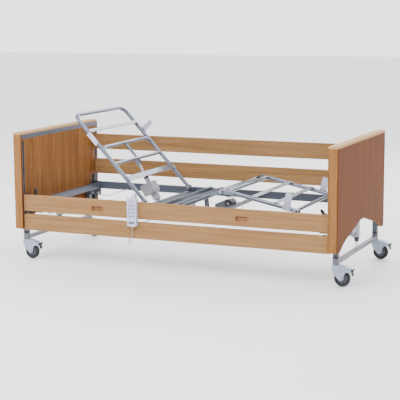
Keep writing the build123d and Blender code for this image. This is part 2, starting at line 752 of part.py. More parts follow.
with BuildPart() as deck_crossbars:
    for x in (-CROSSBAR_X, CROSSBAR_X):
        inside = BEAM_INNER - PLATE
        add_box((x - 12.5, x + 12.5), (-inside, inside), (BEAM_BOTTOM + 5, DECK_TOP - 5))
    deck_bar(BACK_HINGE_X, BEAM_BOTTOM + 2, HINGE_BAR, HINGE_BAR)
    for flank in SIDES.values():
        hinge_ear(BACK_HINGE_X, flank * BACK_EAR_Y, BACK_HINGE_Z, BACK_HINGE_X)
        ear_y = flank * (BACK_TAIL_HALF + 2 + DRIVE_EAR / 2)
        flat = Plane(origin=at(0, ear_y, 0), x_dir=(1, 0, 0), z_dir=(0, -1, 0))
        foot = BACK_HINGE_X - HINGE_BAR / 2 + 2
        low, high = BEAM_BOTTOM + 3, BEAM_BOTTOM + 30
        drive_ear(flat, ear_y, [(foot, low), (foot, high)], (BACK_MOTOR_X, BACK_MOTOR_Z))
        stub = span(THIGH_EAR_Y - EAR / 2, BEAM_INNER, flank)
        half = HINGE_BAR / 2
        add_box((THIGH_HINGE_X - half, THIGH_HINGE_X + half), stub, (BEAM_BOTTOM + 2, BEAM_BOTTOM + 24))
        hinge_ear(THIGH_HINGE_X, flank * THIGH_EAR_Y, THIGH_HINGE_Z, THIGH_HINGE_X)
    for x in SEAT_BARS:
        deck_bar(x, SEAT_BAR_BOTTOM, SEAT_BAR_HEIGHT, SEAT_BAR_DEPTH)
    deck_bar(THIGH_MOTOR_BAR_X, BEAM_BOTTOM + 2, MOTOR_BAR_HEIGHT, MOTOR_BAR_DEPTH)
    for flank in SIDES.values():
        ear_y = flank * (THIGH_TAIL_HALF + 2 + DRIVE_EAR / 2)
        flat = Plane(origin=at(0, ear_y, 0), x_dir=(1, 0, 0), z_dir=(0, -1, 0))
        foot = THIGH_MOTOR_BAR_X - 8
        low, high = BEAM_BOTTOM + 4, BEAM_BOTTOM + MOTOR_BAR_HEIGHT
        drive_ear(flat, ear_y, [(foot, low), (foot, high)], (THIGH_MOTOR_X, THIGH_MOTOR_Z))
save(deck_crossbars, "deck_crossbars")

with BuildPart() as hinge_bolts:
    for flank in SIDES.values():
        for x, z, inner, outer in (
            (BACK_HINGE_X, BACK_HINGE_Z, BACK_HALF - EYE_REACH, BACK_EAR_Y + EAR),
            (THIGH_HINGE_X, THIGH_HINGE_Z, SECTION_HALF - EYE_REACH, THIGH_EAR_Y + EAR),
        ):
            low, high = span(inner + 1, outer, flank)
            rod_along_y((x, z), low, high, BOLT_R)
    for x, z, half in (
        (BACK_MOTOR_X, BACK_MOTOR_Z, BACK_TAIL_HALF),
        (THIGH_MOTOR_X, THIGH_MOTOR_Z, THIGH_TAIL_HALF),
    ):
        reach = half + 2 + DRIVE_EAR + 3
        rod_along_y((x, z), -reach, reach, BOLT_R)
save(hinge_bolts, "hinge_bolts")


# --- backrest ---
def ring_sweep(path, outer, inner):
    with BuildSketch(Plane(origin=path @ 0, z_dir=path % 0)) as ring:
        Circle(outer)
        if inner:
            Circle(inner, mode=Mode.SUBTRACT)
    sweep(ring.sketch, path=path)


def flat_bar(plane, s, width, n, thick, half):
    """A flat bar across a section, its lower face n above the section's plane."""
    with BuildSketch(plane.offset(n)) as bar:
        with Locations((s, 0)):
            Rectangle(width, 2 * half)
    extrude(bar.sketch, amount=thick)


BORE_R = TUBE_R - TUBE_WALL

with BuildPart() as back_frame:
    with BuildLine(BACK_TOP) as bow:
        FilletPolyline(
            (0, -BACK_HALF), (BACK_LENGTH, -BACK_HALF), (BACK_LENGTH, BACK_HALF), (0, BACK_HALF),
            radius=BOW_CORNER,
        )
    ring_sweep(bow.line, TUBE_R, BORE_R)
    with BuildLine(BACK_TOP) as inner_bow:
        top = BACK_BARS["bow"]
        turn_in = BACK_HALF - BOW_LEG
        root = BACK_HALF - WELD
        FilletPolyline(
            (top - BOW_LEG, -root), (top, -turn_in), (top, turn_in), (top - BOW_LEG, root),
            radius=INNER_BOW_CORNER,
        )
    ring_sweep(inner_bow.line, CROSS_TUBE / 2, 0)
    reach = BACK_HALF - WELD
    rod_along_y(on_back(BACK_BARS["middle"], 0), -reach, reach, CROSS_TUBE / 2)
    flat_bar(BACK_TOP, BACK_BARS["lower"], 34, TUBE_R - PRESS, 6, BACK_HALF + 8)
    flat_bar(BACK_TOP, BACK_BARS["upper"], 22, TUBE_R - PRESS, 6, BACK_HALF + 8)
    with BuildSketch(Plane(origin=at(*across(on_back(BACK_BARS["middle"], -3))), z_dir=BACK_ALONG)):
        Circle(9)
    extrude(amount=BACK_BARS["bow"] - BACK_BARS["middle"])
    for flank in SIDES.values():
        low, high = span(BACK_HALF - EYE_REACH, BACK_HALF + EYE_REACH, flank)
        rod_along_y((BACK_HINGE_X, BACK_HINGE_Z), low, high, EYE_R)
        rod_along_y((BACK_HINGE_X, BACK_HINGE_Z), low - 1, high + 1, BOLT_R + RUNNING, Mode.SUBTRACT)
        ears = side_plane(BACK_HINGE_X, flank * CLEVIS_Y, BACK_HINGE_Z, BACK_ALONG, -1)
        middle = BACK_BARS["middle"]
        outline = [(middle - 9, 2), (middle + 9, 2), (middle + 4, -20), (BACK_EYE_S + 8, -34)]
        outline += [(BACK_EYE_S - 12, -34), (BACK_EYE_S - 12, -12)]
        plate(ears, outline, DRIVE_EAR)
save(back_frame, "back_frame")

with BuildPart() as back_retainers:
    outer = BACK_HALF + TUBE_R
    for flank, outline in (
        (1, [(494, -10), (534, -10), (530, 92), (500, 92)]),
        (-1, [(480, -13), (574, -13), (574, 13), (552, 18), (480, 13)]),
    ):
        flat = side_plane(BACK_HINGE_X, flank * (outer + RETAINER / 2), BACK_HINGE_Z, BACK_ALONG, -1)
        plate(flat, outline, RETAINER)
save(back_retainers, "back_retainers")


# --- thigh and leg sections ---
with BuildPart() as thigh_frame:
    for flank in SIDES.values():
        tube_start = at(THIGH_HINGE_X, flank * SECTION_HALF, THIGH_HINGE_Z)
        with BuildSketch(Plane(origin=tube_start, z_dir=THIGH_ALONG)):
            Circle(TUBE_R)
            Circle(BORE_R, mode=Mode.SUBTRACT)
        extrude(amount=THIGH_LENGTH - THIGH_TUBE_SHORT)
        knee = side_plane(THIGH_HINGE_X, flank * KNEE_PLATE_Y, THIGH_HINGE_Z, THIGH_ALONG, 1)
        reach = THIGH_LENGTH - THIGH_TUBE_SHORT
        plate(knee, [(reach - 36, -11), (THIGH_LENGTH, -14), (THIGH_LENGTH, 14), (reach - 36, 11)], LUG)
        low, high = flank * KNEE_PLATE_Y - LUG / 2, flank * KNEE_PLATE_Y + LUG / 2
        rod_along_y((KNEE_X, KNEE_Z), low, high, 14)
        rod_along_y((KNEE_X, KNEE_Z), low - 1, high + 1, BOLT_R, Mode.SUBTRACT)
    turn = radians(THIGH_ANGLE)
    upper_bar = (THIGH_HINGE_X + THIGH_BAR_S * cos(turn), THIGH_HINGE_Z + THIGH_BAR_S * sin(turn))
    inside = SECTION_HALF - EYE_REACH + 2
    rod_along_y((THIGH_HINGE_X, THIGH_HINGE_Z), -inside, inside, CROSS_TUBE / 2)
    rod_along_y(upper_bar, WELD - SECTION_HALF, SECTION_HALF - WELD, CROSS_TUBE / 2)
    flat_bar(THIGH_TOP, THIGH_SLAT_S, 30, TUBE_R - PRESS, 5, SECTION_HALF + 8)
    for flank in SIDES.values():
        low, high = span(SECTION_HALF - EYE_REACH, SECTION_HALF + EYE_REACH, flank)
        rod_along_y((THIGH_HINGE_X, THIGH_HINGE_Z), low, high, EYE_R)
        rod_along_y((THIGH_HINGE_X, THIGH_HINGE_Z), low - 1, high + 1, BOLT_R + RUNNING, Mode.SUBTRACT)
        arm = Plane(origin=at(0, flank * CLEVIS_Y, 0), x_dir=(1, 0, 0), z_dir=(0, -1, 0))
        x, z = THIGH_EYE_X, THIGH_EYE_Z
        plate(arm, [(THIGH_HINGE_X - 10, THIGH_HINGE_Z), (THIGH_HINGE_X + 10, THIGH_HINGE_Z),
                    (x + 11, z - 9), (x - 11, z - 9)], DRIVE_EAR)
save(thigh_frame, "thigh_frame")

with BuildPart() as leg_section_frame:
    plane = LEG_TOP.offset(LEG_RISE)
    with BuildLine(plane) as leg_bow:
        FilletPolyline(
            (LEG_LENGTH, -LEG_HALF), (LEG_BOW, -LEG_HALF), (LEG_BOW, LEG_HALF), (LEG_LENGTH, LEG_HALF),
            radius=LEG_CORNER,
        )
    ring_sweep(leg_bow.line, TUBE_R, BORE_R)
    for s in LEG_BARS:
        flat_bar(plane, s, 28, TUBE_R - PRESS, 5, LEG_HALF + 8)
    turn = radians(LEG_ANGLE)
    end_s = LEG_LENGTH - CROSS_TUBE
    end_x = KNEE_X + end_s * cos(turn) + LEG_RISE * sin(turn)
    end_z = KNEE_Z - end_s * sin(turn) + LEG_RISE * cos(turn)
    end = (end_x, end_z)
    rod_along_y(end, WELD - LEG_HALF, LEG_HALF - WELD, CROSS_TUBE / 2)
    rod_along_y(end, -ROLLER_REACH, ROLLER_REACH, ROLLER_R - 1)
    for flank in SIDES.values():
        low, high = span(BEAM_INNER - 2, ROLLER_REACH, flank)
        rod_along_y(end, low, high, ROLLER_R)
        lug_y = flank * (LEG_HALF + TUBE_R + LUG / 2 - LUG_BITE)
        lug = side_plane(KNEE_X, lug_y, KNEE_Z, LEG_ALONG, 1)
        plate(lug, [(0, -13), (0, 13), (LEG_BOW + 50, 18), (LEG_BOW + 50, -2)], LUG)
        rod_along_y((KNEE_X, KNEE_Z), lug_y - LUG / 2, lug_y + LUG / 2, 13)
        rod_along_y((KNEE_X, KNEE_Z), lug_y - LUG, lug_y + LUG, BOLT_R + RUNNING, Mode.SUBTRACT)
save(leg_section_frame, "leg_section_frame")

with BuildPart() as leg_retainers:
    for flank in SIDES.values():
        y = flank * (LEG_HALF + TUBE_R + RETAINER / 2)
        flat = side_plane(KNEE_X, y, KNEE_Z, LEG_ALONG, 1)
        s = LEG_RETAINER_S
        plate(flat, [(s - 27, -6), (s + 27, -6), (s + 19, 104), (s - 19, 104)], RETAINER)
save(leg_retainers, "leg_retainers")

with BuildPart() as knee_bolts:
    for flank in SIDES.values():
        low, high = span(LEG_HALF + TUBE_R - 4, KNEE_PLATE_Y + LUG / 2 + 5, flank)
        rod_along_y((KNEE_X, KNEE_Z), low, high, BOLT_R)
save(knee_bolts, "knee_bolts")


# --- deck drives ---
def drive_plane(pivot, eye, y=0.0):
    """An upright plane on a drive's line: x runs from its pivot to its eye."""
    length = sqrt((eye[0] - pivot[0]) ** 2 + (eye[1] - pivot[1]) ** 2)
    along = ((eye[0] - pivot[0]) / length, 0, (eye[1] - pivot[1]) / length)
    return Plane(origin=at(pivot[0], y, pivot[1]), x_dir=along, z_dir=(0, 1, 0)), along, length


def drive_rod(pivot, eye, start, radius):
    """A piston from inside the housing to its eye."""
    flat, along, length = drive_plane(pivot, eye)
    with BuildPart() as rod:
        with BuildSketch(Plane(origin=flat.from_local_coords((start, 0, 0)), z_dir=along)):
            Circle(radius)
        extrude(amount=length - start - 6)
        with BuildSketch(flat):
            with Locations((length, 0)):
                Circle(10)
                Circle(BOLT_R, mode=Mode.SUBTRACT)
        extrude(amount=EYE_HALF, both=True)
    return rod


BACK_PIVOT = (BACK_MOTOR_X, BACK_MOTOR_Z)
THIGH_PIVOT = (THIGH_MOTOR_X, THIGH_MOTOR_Z)
THIGH_EYE = (THIGH_EYE_X, THIGH_EYE_Z)

with BuildPart() as back_motor:
    flat, along, length = drive_plane(BACK_PIVOT, BACK_EYE)
    with BuildSketch(flat):
        with Locations(((HOUSING_START + HOUSING_END) / 2, (HOUSING_TOP - HOUSING_UNDER) / 2)):
            RectangleRounded(HOUSING_END - HOUSING_START, HOUSING_TOP + HOUSING_UNDER, HOUSING_CORNER)
    extrude(amount=HOUSING_HALF, both=True)
    with BuildSketch(Plane(origin=flat.from_local_coords((0, 0, 0)), z_dir=along)):
        Circle(BACK_TAIL_HALF - 1)
    extrude(amount=BACK_SLEEVE_LENGTH)
    with BuildSketch(flat):
        Circle(EYE_R)
    extrude(amount=BACK_TAIL_HALF, both=True)
    rod_along_y(BACK_PIVOT, -BACK_TAIL_HALF - 1, BACK_TAIL_HALF + 1, BOLT_R + RUNNING, Mode.SUBTRACT)
    with BuildSketch(Plane(origin=flat.from_local_coords((BACK_BORE_START, 0, 0)), z_dir=along)):
        Circle(BACK_ROD_R + ROD_PLAY)
    extrude(amount=BACK_SLEEVE_LENGTH, mode=Mode.SUBTRACT)
save(back_motor, "back_motor")
back_rod = drive_rod(BACK_PIVOT, BACK_EYE, BACK_ROD_START, BACK_ROD_R)
save(back_rod, "back_rod")

with BuildPart() as thigh_motor:
    flat, along, length = drive_plane(THIGH_PIVOT, THIGH_EYE)
    with BuildSketch(flat):
        Circle(THIGH_DISC_R)
    extrude(amount=THIGH_TAIL_HALF, both=True)
    with BuildSketch(flat):
        with BuildLine():
            end = THIGH_HOUSING_END
            FilletPolyline((6, -27), (end, -24), (end, 24), (6, 30), close=True, radius=12)
        make_face()
    extrude(amount=THIGH_TAIL_HALF - 6, both=True)
    rod_along_y(THIGH_PIVOT, -THIGH_TAIL_HALF - 1, THIGH_TAIL_HALF + 1, BOLT_R + RUNNING, Mode.SUBTRACT)
    with BuildSketch(Plane(origin=flat.from_local_coords((THIGH_BORE_START, 0, 0)), z_dir=along)):
        Circle(THIGH_ROD_R + ROD_PLAY)
    extrude(amount=THIGH_HOUSING_END, mode=Mode.SUBTRACT)
    lean = radians(MOTOR_GLAND_TILT)
    out = (cos(lean), 0, sin(lean))
    reach = THIGH_DISC_R
    gland(THIGH_MOTOR_X + reach * out[0], 0, THIGH_MOTOR_Z + reach * out[2], out)
save(thigh_motor, "thigh_motor")
thigh_rod = drive_rod(THIGH_PIVOT, THIGH_EYE, THIGH_ROD_START, THIGH_ROD_R)
save(thigh_rod, "thigh_rod")

with BuildPart() as control_box:
    with BuildSketch(Plane.XY.offset(BOX_BOTTOM)):
        with Locations((CX + BOX_X, CY + BOX_Y)):
            RectangleRounded(BOX_LENGTH, BOX_WIDTH, 8)
    extrude(amount=SEAT_BAR_BOTTOM - BOX_BOTTOM)
    fillet(control_box.faces().sort_by(Axis.Z)[0].edges(), radius=4)
    far_face = BOX_Y + BOX_WIDTH / 2
    cut_box(
        (BOX_X - INLET_WIDTH / 2, BOX_X + INLET_WIDTH / 2),
        (far_face - INLET_DEPTH, far_face + 1),
        (CABLE_EXIT_Z - INLET_HEIGHT / 2, CABLE_EXIT_Z + INLET_HEIGHT / 2),
    )
    gland(BOX_X, BOX_Y - BOX_WIDTH / 2, CABLE_EXIT_Z, (0, -1, 0))
    gland(BOX_X + BOX_LENGTH / 2, BOX_Y, CABLE_EXIT_Z, (1, 0, 0))
save(control_box, "control_box")


# --- clamp levers ---
def clamp_lever(side, flank):
    """A hand lever on the bolt that clamps a beam's end to its plate."""
    lean = 0 if side < 0 else radians(LEVER_TILT)
    inner = BEAM_INNER - PLATE
    y = flank * (inner - LEVER_GAP - LEVER_THICK / 2)
    tip = (side * LEVER_X - side * LEVER_LENGTH * sin(lean), LEVER_Z + LEVER_LENGTH * cos(lean))
    with BuildPart() as lever:
        low, high = span(inner - LEVER_GAP - LEVER_THICK, inner - LEVER_GAP, flank)
        rod_along_y((side * LEVER_X, LEVER_Z), low, high, 14)
        flat = Plane(
            origin=at(side * LEVER_X, y, LEVER_Z), x_dir=(-side * sin(lean), 0, cos(lean)), z_dir=(0, 1, 0)
        )
        plate(flat, [(0, -10), (LEVER_LENGTH - 6, -7), (LEVER_LENGTH, 0), (LEVER_LENGTH - 6, 7), (0, 10)], 12)
        low, high = span(inner - LEVER_GAP - 1, BEAM_INNER + TUBE_WALL + 2, flank)
        rod_along_y((side * LEVER_X, LEVER_Z), low, high, LEVER_BOLT_R)
    return lever


for end, side in ENDS.items():
    for near, flank in SIDES.items():
        lever = clamp_lever(side, flank)
        save(lever, f"{near}_{end}_clamp_lever")


# --- handset ---
BOARD_FACE = BOARD_Y + BOARD_THICK / 2
HANDSET_BACK = BOARD_FACE + HANDSET_GAP
NEAR_TOP = LOWERED["upper"] + BOARD_HEIGHT
HANDSET_BOTTOM = NEAR_TOP + HANDSET_ABOVE - HANDSET_HEIGHT
KEY_ROWS = [HANDSET_BOTTOM + KEY_FIRST + KEY_PITCH * n for n in range(4)]

with BuildPart() as handset:
    with BuildSketch(Plane(origin=at(HANDSET_X, -HANDSET_BACK, 0), x_dir=(1, 0, 0), z_dir=(0, -1, 0))):
        with Locations((0, HANDSET_BOTTOM + HANDSET_HEIGHT / 2)):
            RectangleRounded(HANDSET_WIDTH, HANDSET_HEIGHT, 9)
    extrude(amount=HANDSET_THICK)
    fillet(handset.faces().sort_by(Axis.Y)[0].edges(), radius=4)
    front = HANDSET_BACK + HANDSET_THICK
    for z in KEY_ROWS:
        cut_box(
            (HANDSET_X - KEY_WIDTH / 2 - KEY_PLAY, HANDSET_X + KEY_WIDTH / 2 + KEY_PLAY),
            (-front - 1, -front + KEY_POCKET),
            (z - KEY_HEIGHT / 2 - KEY_PLAY, z + KEY_HEIGHT / 2 + KEY_PLAY),
        )
    with BuildSketch(Plane.YZ.offset(CX + HANDSET_X - HOOK_WIDTH / 2)):
        with BuildLine():
            inner = BOARD_Y - BOARD_THICK / 2 - HANDSET_GAP
            hook = [
                (-HANDSET_BACK - 4, NEAR_TOP + HOOK_PLAY),
                (-inner, NEAR_TOP + HOOK_PLAY),
                (-inner, NEAR_TOP - 26),
                (-inner + 4, NEAR_TOP - 26),
                (-inner + 5, NEAR_TOP + 28),
                (-inner - 6, NEAR_TOP + 50),
                (-inner - 16, NEAR_TOP + 50),
                (-HANDSET_BACK - 4, NEAR_TOP + 24),
            ]
            Polyline(*[(CY + y, z) for y, z in hook], close=True)
        make_face()
    extrude(amount=HOOK_WIDTH)
    gland(HANDSET_X, -HANDSET_BACK - HANDSET_THICK / 2, HANDSET_BOTTOM, (0, 0, -1))
save(handset, "handset")

for row, z in zip(("all", "height", "knee", "back"), KEY_ROWS):
    with BuildPart() as rocker:
        with BuildSketch(Plane.XY.offset(z - KEY_HEIGHT / 2)):
            with BuildLine():
                half = KEY_WIDTH / 2
                outer = CY - HANDSET_BACK - HANDSET_THICK
                x = CX + HANDSET_X
                under = outer + KEY_DEPTH
                front = outer - KEY_PROUD
                Polyline((x - half, front), (x - half, under), (x - KEY_RIDGE_R, under))
                ThreePointArc((x - KEY_RIDGE_R, under), (x, under + KEY_RIDGE_R), (x + KEY_RIDGE_R, under))
                Polyline((x + KEY_RIDGE_R, under), (x + half, under), (x + half, front))
                ThreePointArc((x + half, front), (x, outer - KEY_DISH), (x - half, front))
            make_face()
        extrude(amount=KEY_HEIGHT)
    save(rocker, f"{row}_key")


# --- cables ---
def cable(points):
    """A round cable: straight runs joined by the widest arcs that they allow."""
    corners = [Vector(*at(*point)) for point in points]
    bends = []
    for before, here, after in zip(corners, corners[1:], corners[2:]):
        arriving = here - before
        leaving = after - here
        turn = radians(arriving.get_angle(leaving))
        bends.append(CABLE_FILL * min(arriving.length, leaving.length) / tan(turn / 2))
    with BuildPart() as tube:
        with BuildLine() as route:
            FilletPolyline(*corners, radius=bends)
        with BuildSketch(Plane(origin=route.line @ 0, z_dir=route.line % 0)) as ring:
            Circle(CORD / 2)
        sweep(ring.sketch, path=route.line)
    length = sum(edge.length for edge in route.line.edges())
    print("length", round(length), "bends", [round(bend) for bend in bends])
    print("volume", round(tube.part.volume), "of", round(pi * (CORD / 2) ** 2 * length))
    return tube


handset_cable = cable([
    (HANDSET_X, -507, 273.5),
    (HANDSET_X, -507, 250),
    (-239, -507, 222),
    (-245, -506, 195),
    (-255, -499, 172),
    (-270, -482, 162),
    (-286, -461, 171),
    (-292, -442, 195),
    (-288, -420, 222),
    (-274, -392, 247),
    (-250, -360, 268),
    (-219, -325, 285),
    (-185, -292, 301),
    (-150, -270, 316),
    (-117, -261, 330),
    (-88, -253, 340),
    (-68, -236, 344.5),
    (BOX_X, -216, CABLE_EXIT_Z),
    (BOX_X, -194, CABLE_EXIT_Z),
])
save(handset_cable, "handset_cable")

thigh_cable = cable([
    (249.47, 0, 386.08),
    (266.2, 0, 389.03),
    (286, -4, 386),
    (305, -14, 373),
    (313, -30, 353),
    (305, -50, 333),
    (283, -70, 317),
    (250, -88, 307),
    (210, -101, 303),
    (166, -109, 305),
    (120, -114, 314),
    (78, -117, 327),
    (44, -118, 339),
    (21, -118, CABLE_EXIT_Z),
    (2, -118, CABLE_EXIT_Z),
])
save(thigh_cable, "thigh_cable")

head_cable = cable([
    (-GROMMET_X, 391, GROMMET_Z),
    (-GROMMET_X, 367, GROMMET_Z),
    (-940, 350, 324),
    (-912, 347, 317),
    (-878, 349, 313),
    (-842, 352, 316),
    (-806, 355, 329),
    (-774, 356, 346),
    (-748, 358, 355),
    (CLIP_X, 374, CLIP_Z),
    (CLIP_X, 397, CLIP_Z),
])
save(head_cable, "head_cable")
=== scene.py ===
# %% [markdown]
# # An adjustable hospital bed
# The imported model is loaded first. It gives every rigid piece at its real size and in its real place, so
# this script never moves them: it gives them finishes, and adds the pieces that are easier to make as
# curves and meshes.

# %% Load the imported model
import bpy
import bmesh
from math import cos, pi, radians, sin
from mathutils import Matrix, Vector


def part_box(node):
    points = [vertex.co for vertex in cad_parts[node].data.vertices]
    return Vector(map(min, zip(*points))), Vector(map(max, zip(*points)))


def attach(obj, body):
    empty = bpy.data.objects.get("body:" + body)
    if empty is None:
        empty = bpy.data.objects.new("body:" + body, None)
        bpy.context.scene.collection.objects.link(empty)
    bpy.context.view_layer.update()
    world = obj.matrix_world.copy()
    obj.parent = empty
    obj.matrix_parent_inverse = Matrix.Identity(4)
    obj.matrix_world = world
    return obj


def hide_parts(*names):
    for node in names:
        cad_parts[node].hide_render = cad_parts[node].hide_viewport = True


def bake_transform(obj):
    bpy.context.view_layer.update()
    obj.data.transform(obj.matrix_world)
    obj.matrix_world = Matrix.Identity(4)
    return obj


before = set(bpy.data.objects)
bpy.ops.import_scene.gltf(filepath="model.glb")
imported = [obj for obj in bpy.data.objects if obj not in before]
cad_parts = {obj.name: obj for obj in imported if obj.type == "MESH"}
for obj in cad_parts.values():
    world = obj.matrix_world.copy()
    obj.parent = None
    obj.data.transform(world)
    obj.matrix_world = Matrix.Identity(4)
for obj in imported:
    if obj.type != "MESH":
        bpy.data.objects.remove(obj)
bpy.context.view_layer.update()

# %% [markdown]
# Sizes are easiest to give from the middle of the bed. The two top caps stand the same distance either
# side of it, so the middle of their box is the middle of the bed, and one small function turns
# millimetres from there into metres in the model's frame.

# %% The middle of the bed
def middle_of(node):
    low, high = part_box(node)
    return [(a + b) / 2 for a, b in zip(low, high)]


BED_X, BED_Y = middle_of("top_caps")[:2]
ENDS = {"head": -1, "foot": 1}
SIDES = {"near": -1, "far": 1}


def at(x, y, z):
    return Vector((BED_X + x / 1000, BED_Y + y / 1000, z / 1000))


print("middle of the bed", round(BED_X, 4), round(BED_Y, 4))

# %% [markdown]
# The camera stands well back with a long lens, as for a catalogue picture. A long lens keeps the two ends
# of the bed nearly the same size. Its direction is given by how far it turns and dips, and a tiny roll
# levels it.

# %% The camera
LENS_MM = 108.4
CAMERA_PLACE = (3130, -7070, 1636)
TURN, DIP, ROLL = 0.4167, 0.1604, -0.0051

lens = bpy.data.cameras.new("camera")
lens.sensor_width = 36
lens.lens = LENS_MM
camera = bpy.data.objects.new("camera", lens)
bpy.context.scene.collection.objects.link(camera)
camera.location = at(*CAMERA_PLACE)
sight = Vector((-sin(TURN) * cos(DIP), cos(TURN) * cos(DIP), -sin(DIP)))
aim = sight.to_track_quat("-Z", "Y")
camera.rotation_mode = "QUATERNION"
camera.rotation_quaternion = aim @ Matrix.Rotation(ROLL, 3, "Z").to_quaternion()
bpy.context.scene.camera = camera
print("camera at", [round(v, 3) for v in camera.location])

# %% [markdown]
# ## Cables
# A cable is a fixed length of something that bends under its own weight. Its line is one smooth curve
# with a few listed points. Each cable is a mesh tube along its curve, because only a mesh can be
# stretched between two bodies, and two of the three have an end that travels with a moving part.

# %% A smooth line
CABLE = 0.005


def new_piece(name, mesh):
    piece = bpy.data.objects.new(name, mesh)
    bpy.context.scene.collection.objects.link(piece)
    return piece


def smooth_path(route):
    """Points along a smooth line that the route's own points steer."""
    line = bpy.data.curves.new("route", "CURVE")
    line.dimensions = "3D"
    line.resolution_u = 12
    spline = line.splines.new("NURBS")
    spline.points.add(len(route) - 1)
    for point, place in zip(spline.points, route):
        point.co = (*at(*place), 1)
    spline.order_u = 3
    spline.use_endpoint_u = True
    guide = new_piece("route", line)
    mesh = bpy.data.meshes.new_from_object(guide)
    points = [vertex.co.copy() for vertex in mesh.vertices]
    bpy.data.meshes.remove(mesh)
    bpy.data.objects.remove(guide)
    bpy.data.curves.remove(line)
    return points


def length_of(points):
    return sum((b - a).length for a, b in zip(points, points[1:]))


print("cable", CABLE * 1000, "mm thick")

# %% [markdown]
# The tube is a row of rings, one at each point of the path. Each ring is turned as little as possible
# from the one before, so the tube doesn't twist.

# %% A tube along a path
def tube_along(name, points, radius, sides=12):
    """A round tube with closed ends."""
    shape = bmesh.new()
    up = (points[1] - points[0]).orthogonal().normalized()
    rings = []
    for k, point in enumerate(points):
        ahead = points[min(k + 1, len(points) - 1)] - points[max(k - 1, 0)]
        ahead.normalize()
        up = (up - ahead * up.dot(ahead)).normalized()
        across = ahead.cross(up)
        turns = [2 * pi * n / sides for n in range(sides)]
        rings.append([shape.verts.new(point + radius * (up * cos(t) + across * sin(t))) for t in turns])
    for one, two in zip(rings, rings[1:]):
        for n in range(sides):
            m = (n + 1) % sides
            shape.faces.new((one[n], one[m], two[m], two[n])).smooth = True
    shape.faces.new(rings[0][::-1])
    shape.faces.new(rings[-1])
    bmesh.ops.recalc_face_normals(shape, faces=shape.faces)
    mesh = bpy.data.meshes.new(name)
    shape.to_mesh(mesh)
    shape.free()
    return new_piece(name, mesh)


print("a tube has 12 sides")

# %% [markdown]
# The handset's cable drops in front of the boards, turns up behind the lower one and runs under the deck
# to the control box. The handset rides on the upper board, so the front drop has to follow it when that
# board rises.

# %% The handset's cable
handset_route = [
    (-235, -507, 273.5),
    (-235, -507, 250),
    (-239, -507, 222),
    (-245, -506, 195),
    (-255, -499, 172),
    (-270, -482, 162),
    (-286, -461, 171),
    (-292, -442, 195),
    (-288, -420, 222),
    (-274, -392, 247),
    (-250, -360, 268),
    (-219, -325, 285),
    (-185, -292, 301),
    (-150, -270, 316),
    (-117, -261, 330),
    (-88, -253, 340),
    (-68, -236, 344.5),
    (-58, -216, 345),
    (-58, -194, 345),
]
handset_points = smooth_path(handset_route)
handset_cable = tube_along("handset_lead", handset_points, CABLE / 2)
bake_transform(handset_cable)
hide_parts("handset_cable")
print("handset cable", round(length_of(handset_points), 3))

# %% [markdown]
# The knee drive's cable arches out of the end of its motor, drops below the cross tubes and comes back to
# the control box. Its first part moves with the motor.

# %% The knee drive's cable
thigh_route = [
    (249.47, 0, 386.08),
    (266.2, 0, 389.03),
    (286, -4, 386),
    (305, -14, 373),
    (313, -30, 353),
    (305, -50, 333),
    (283, -70, 317),
    (250, -88, 307),
    (210, -101, 303),
    (166, -109, 305),
    (120, -114, 314),
    (78, -117, 327),
    (44, -118, 339),
    (21, -118, 345),
    (2, -118, 345),
]
thigh_points = smooth_path(thigh_route)
thigh_cable = tube_along("knee_drive_lead", thigh_points, CABLE / 2)
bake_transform(thigh_cable)
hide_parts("thigh_cable")
print("knee drive's cable", round(length_of(thigh_points), 3))

# %% [markdown]
# The head lift's cable sags from its motor to the far beam. Both ends stay put, so it rides on the bed's
# frame.

# %% The head lift's cable
head_route = [
    (-957, 391, 327),
    (-957, 367, 327),
    (-940, 350, 324),
    (-912, 347, 317),
    (-878, 349, 313),
    (-842, 352, 316),
    (-806, 355, 329),
    (-774, 356, 346),
    (-748, 358, 355),
    (-731, 374, 358),
    (-731, 397, 358),
]
head_points = smooth_path(head_route)
head_cable = tube_along("head_lift_lead", head_points, CABLE / 2)
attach(head_cable, "bed_frame")
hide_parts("head_cable")
print("head lift's cable", round(length_of(head_points), 3))

# %% [markdown]
# ## Light and floor
# The room is a plain studio: a wide pale floor that runs out to a pale surround, one very large soft
# light above the near side, a second one low on the left to open up the shadows, and a broad one behind
# to edge the tubes. The surround is bright above and behind the bed and dim in front of it, as in a
# studio with a lit backdrop. The dim part is what gives round tubes their dark edges.

# %% Light and floor
def linear(hex_colour):
    """An sRGB hex colour as linear red, green, blue and an alpha of one."""
    parts = [int(hex_colour[k:k + 2], 16) / 255 for k in (1, 3, 5)]
    return tuple(p / 12.92 if p <= 0.04045 else ((p + 0.055) / 1.055) ** 2.4 for p in parts) + (1,)


def soft_light(name, place, toward, size, watts):
    lamp = bpy.data.lights.new(name, "AREA")
    lamp.shape = "RECTANGLE"
    lamp.size, lamp.size_y = size
    lamp.energy = watts
    light = bpy.data.objects.new(name, lamp)
    light.location = place
    light.rotation_mode = "QUATERNION"
    light.rotation_quaternion = (Vector(toward) - Vector(place)).to_track_quat("-Z", "Y")
    bpy.context.scene.collection.objects.link(light)


DIM, BRIGHT = 0.35, 2.6
FLOOR_REACH = 30

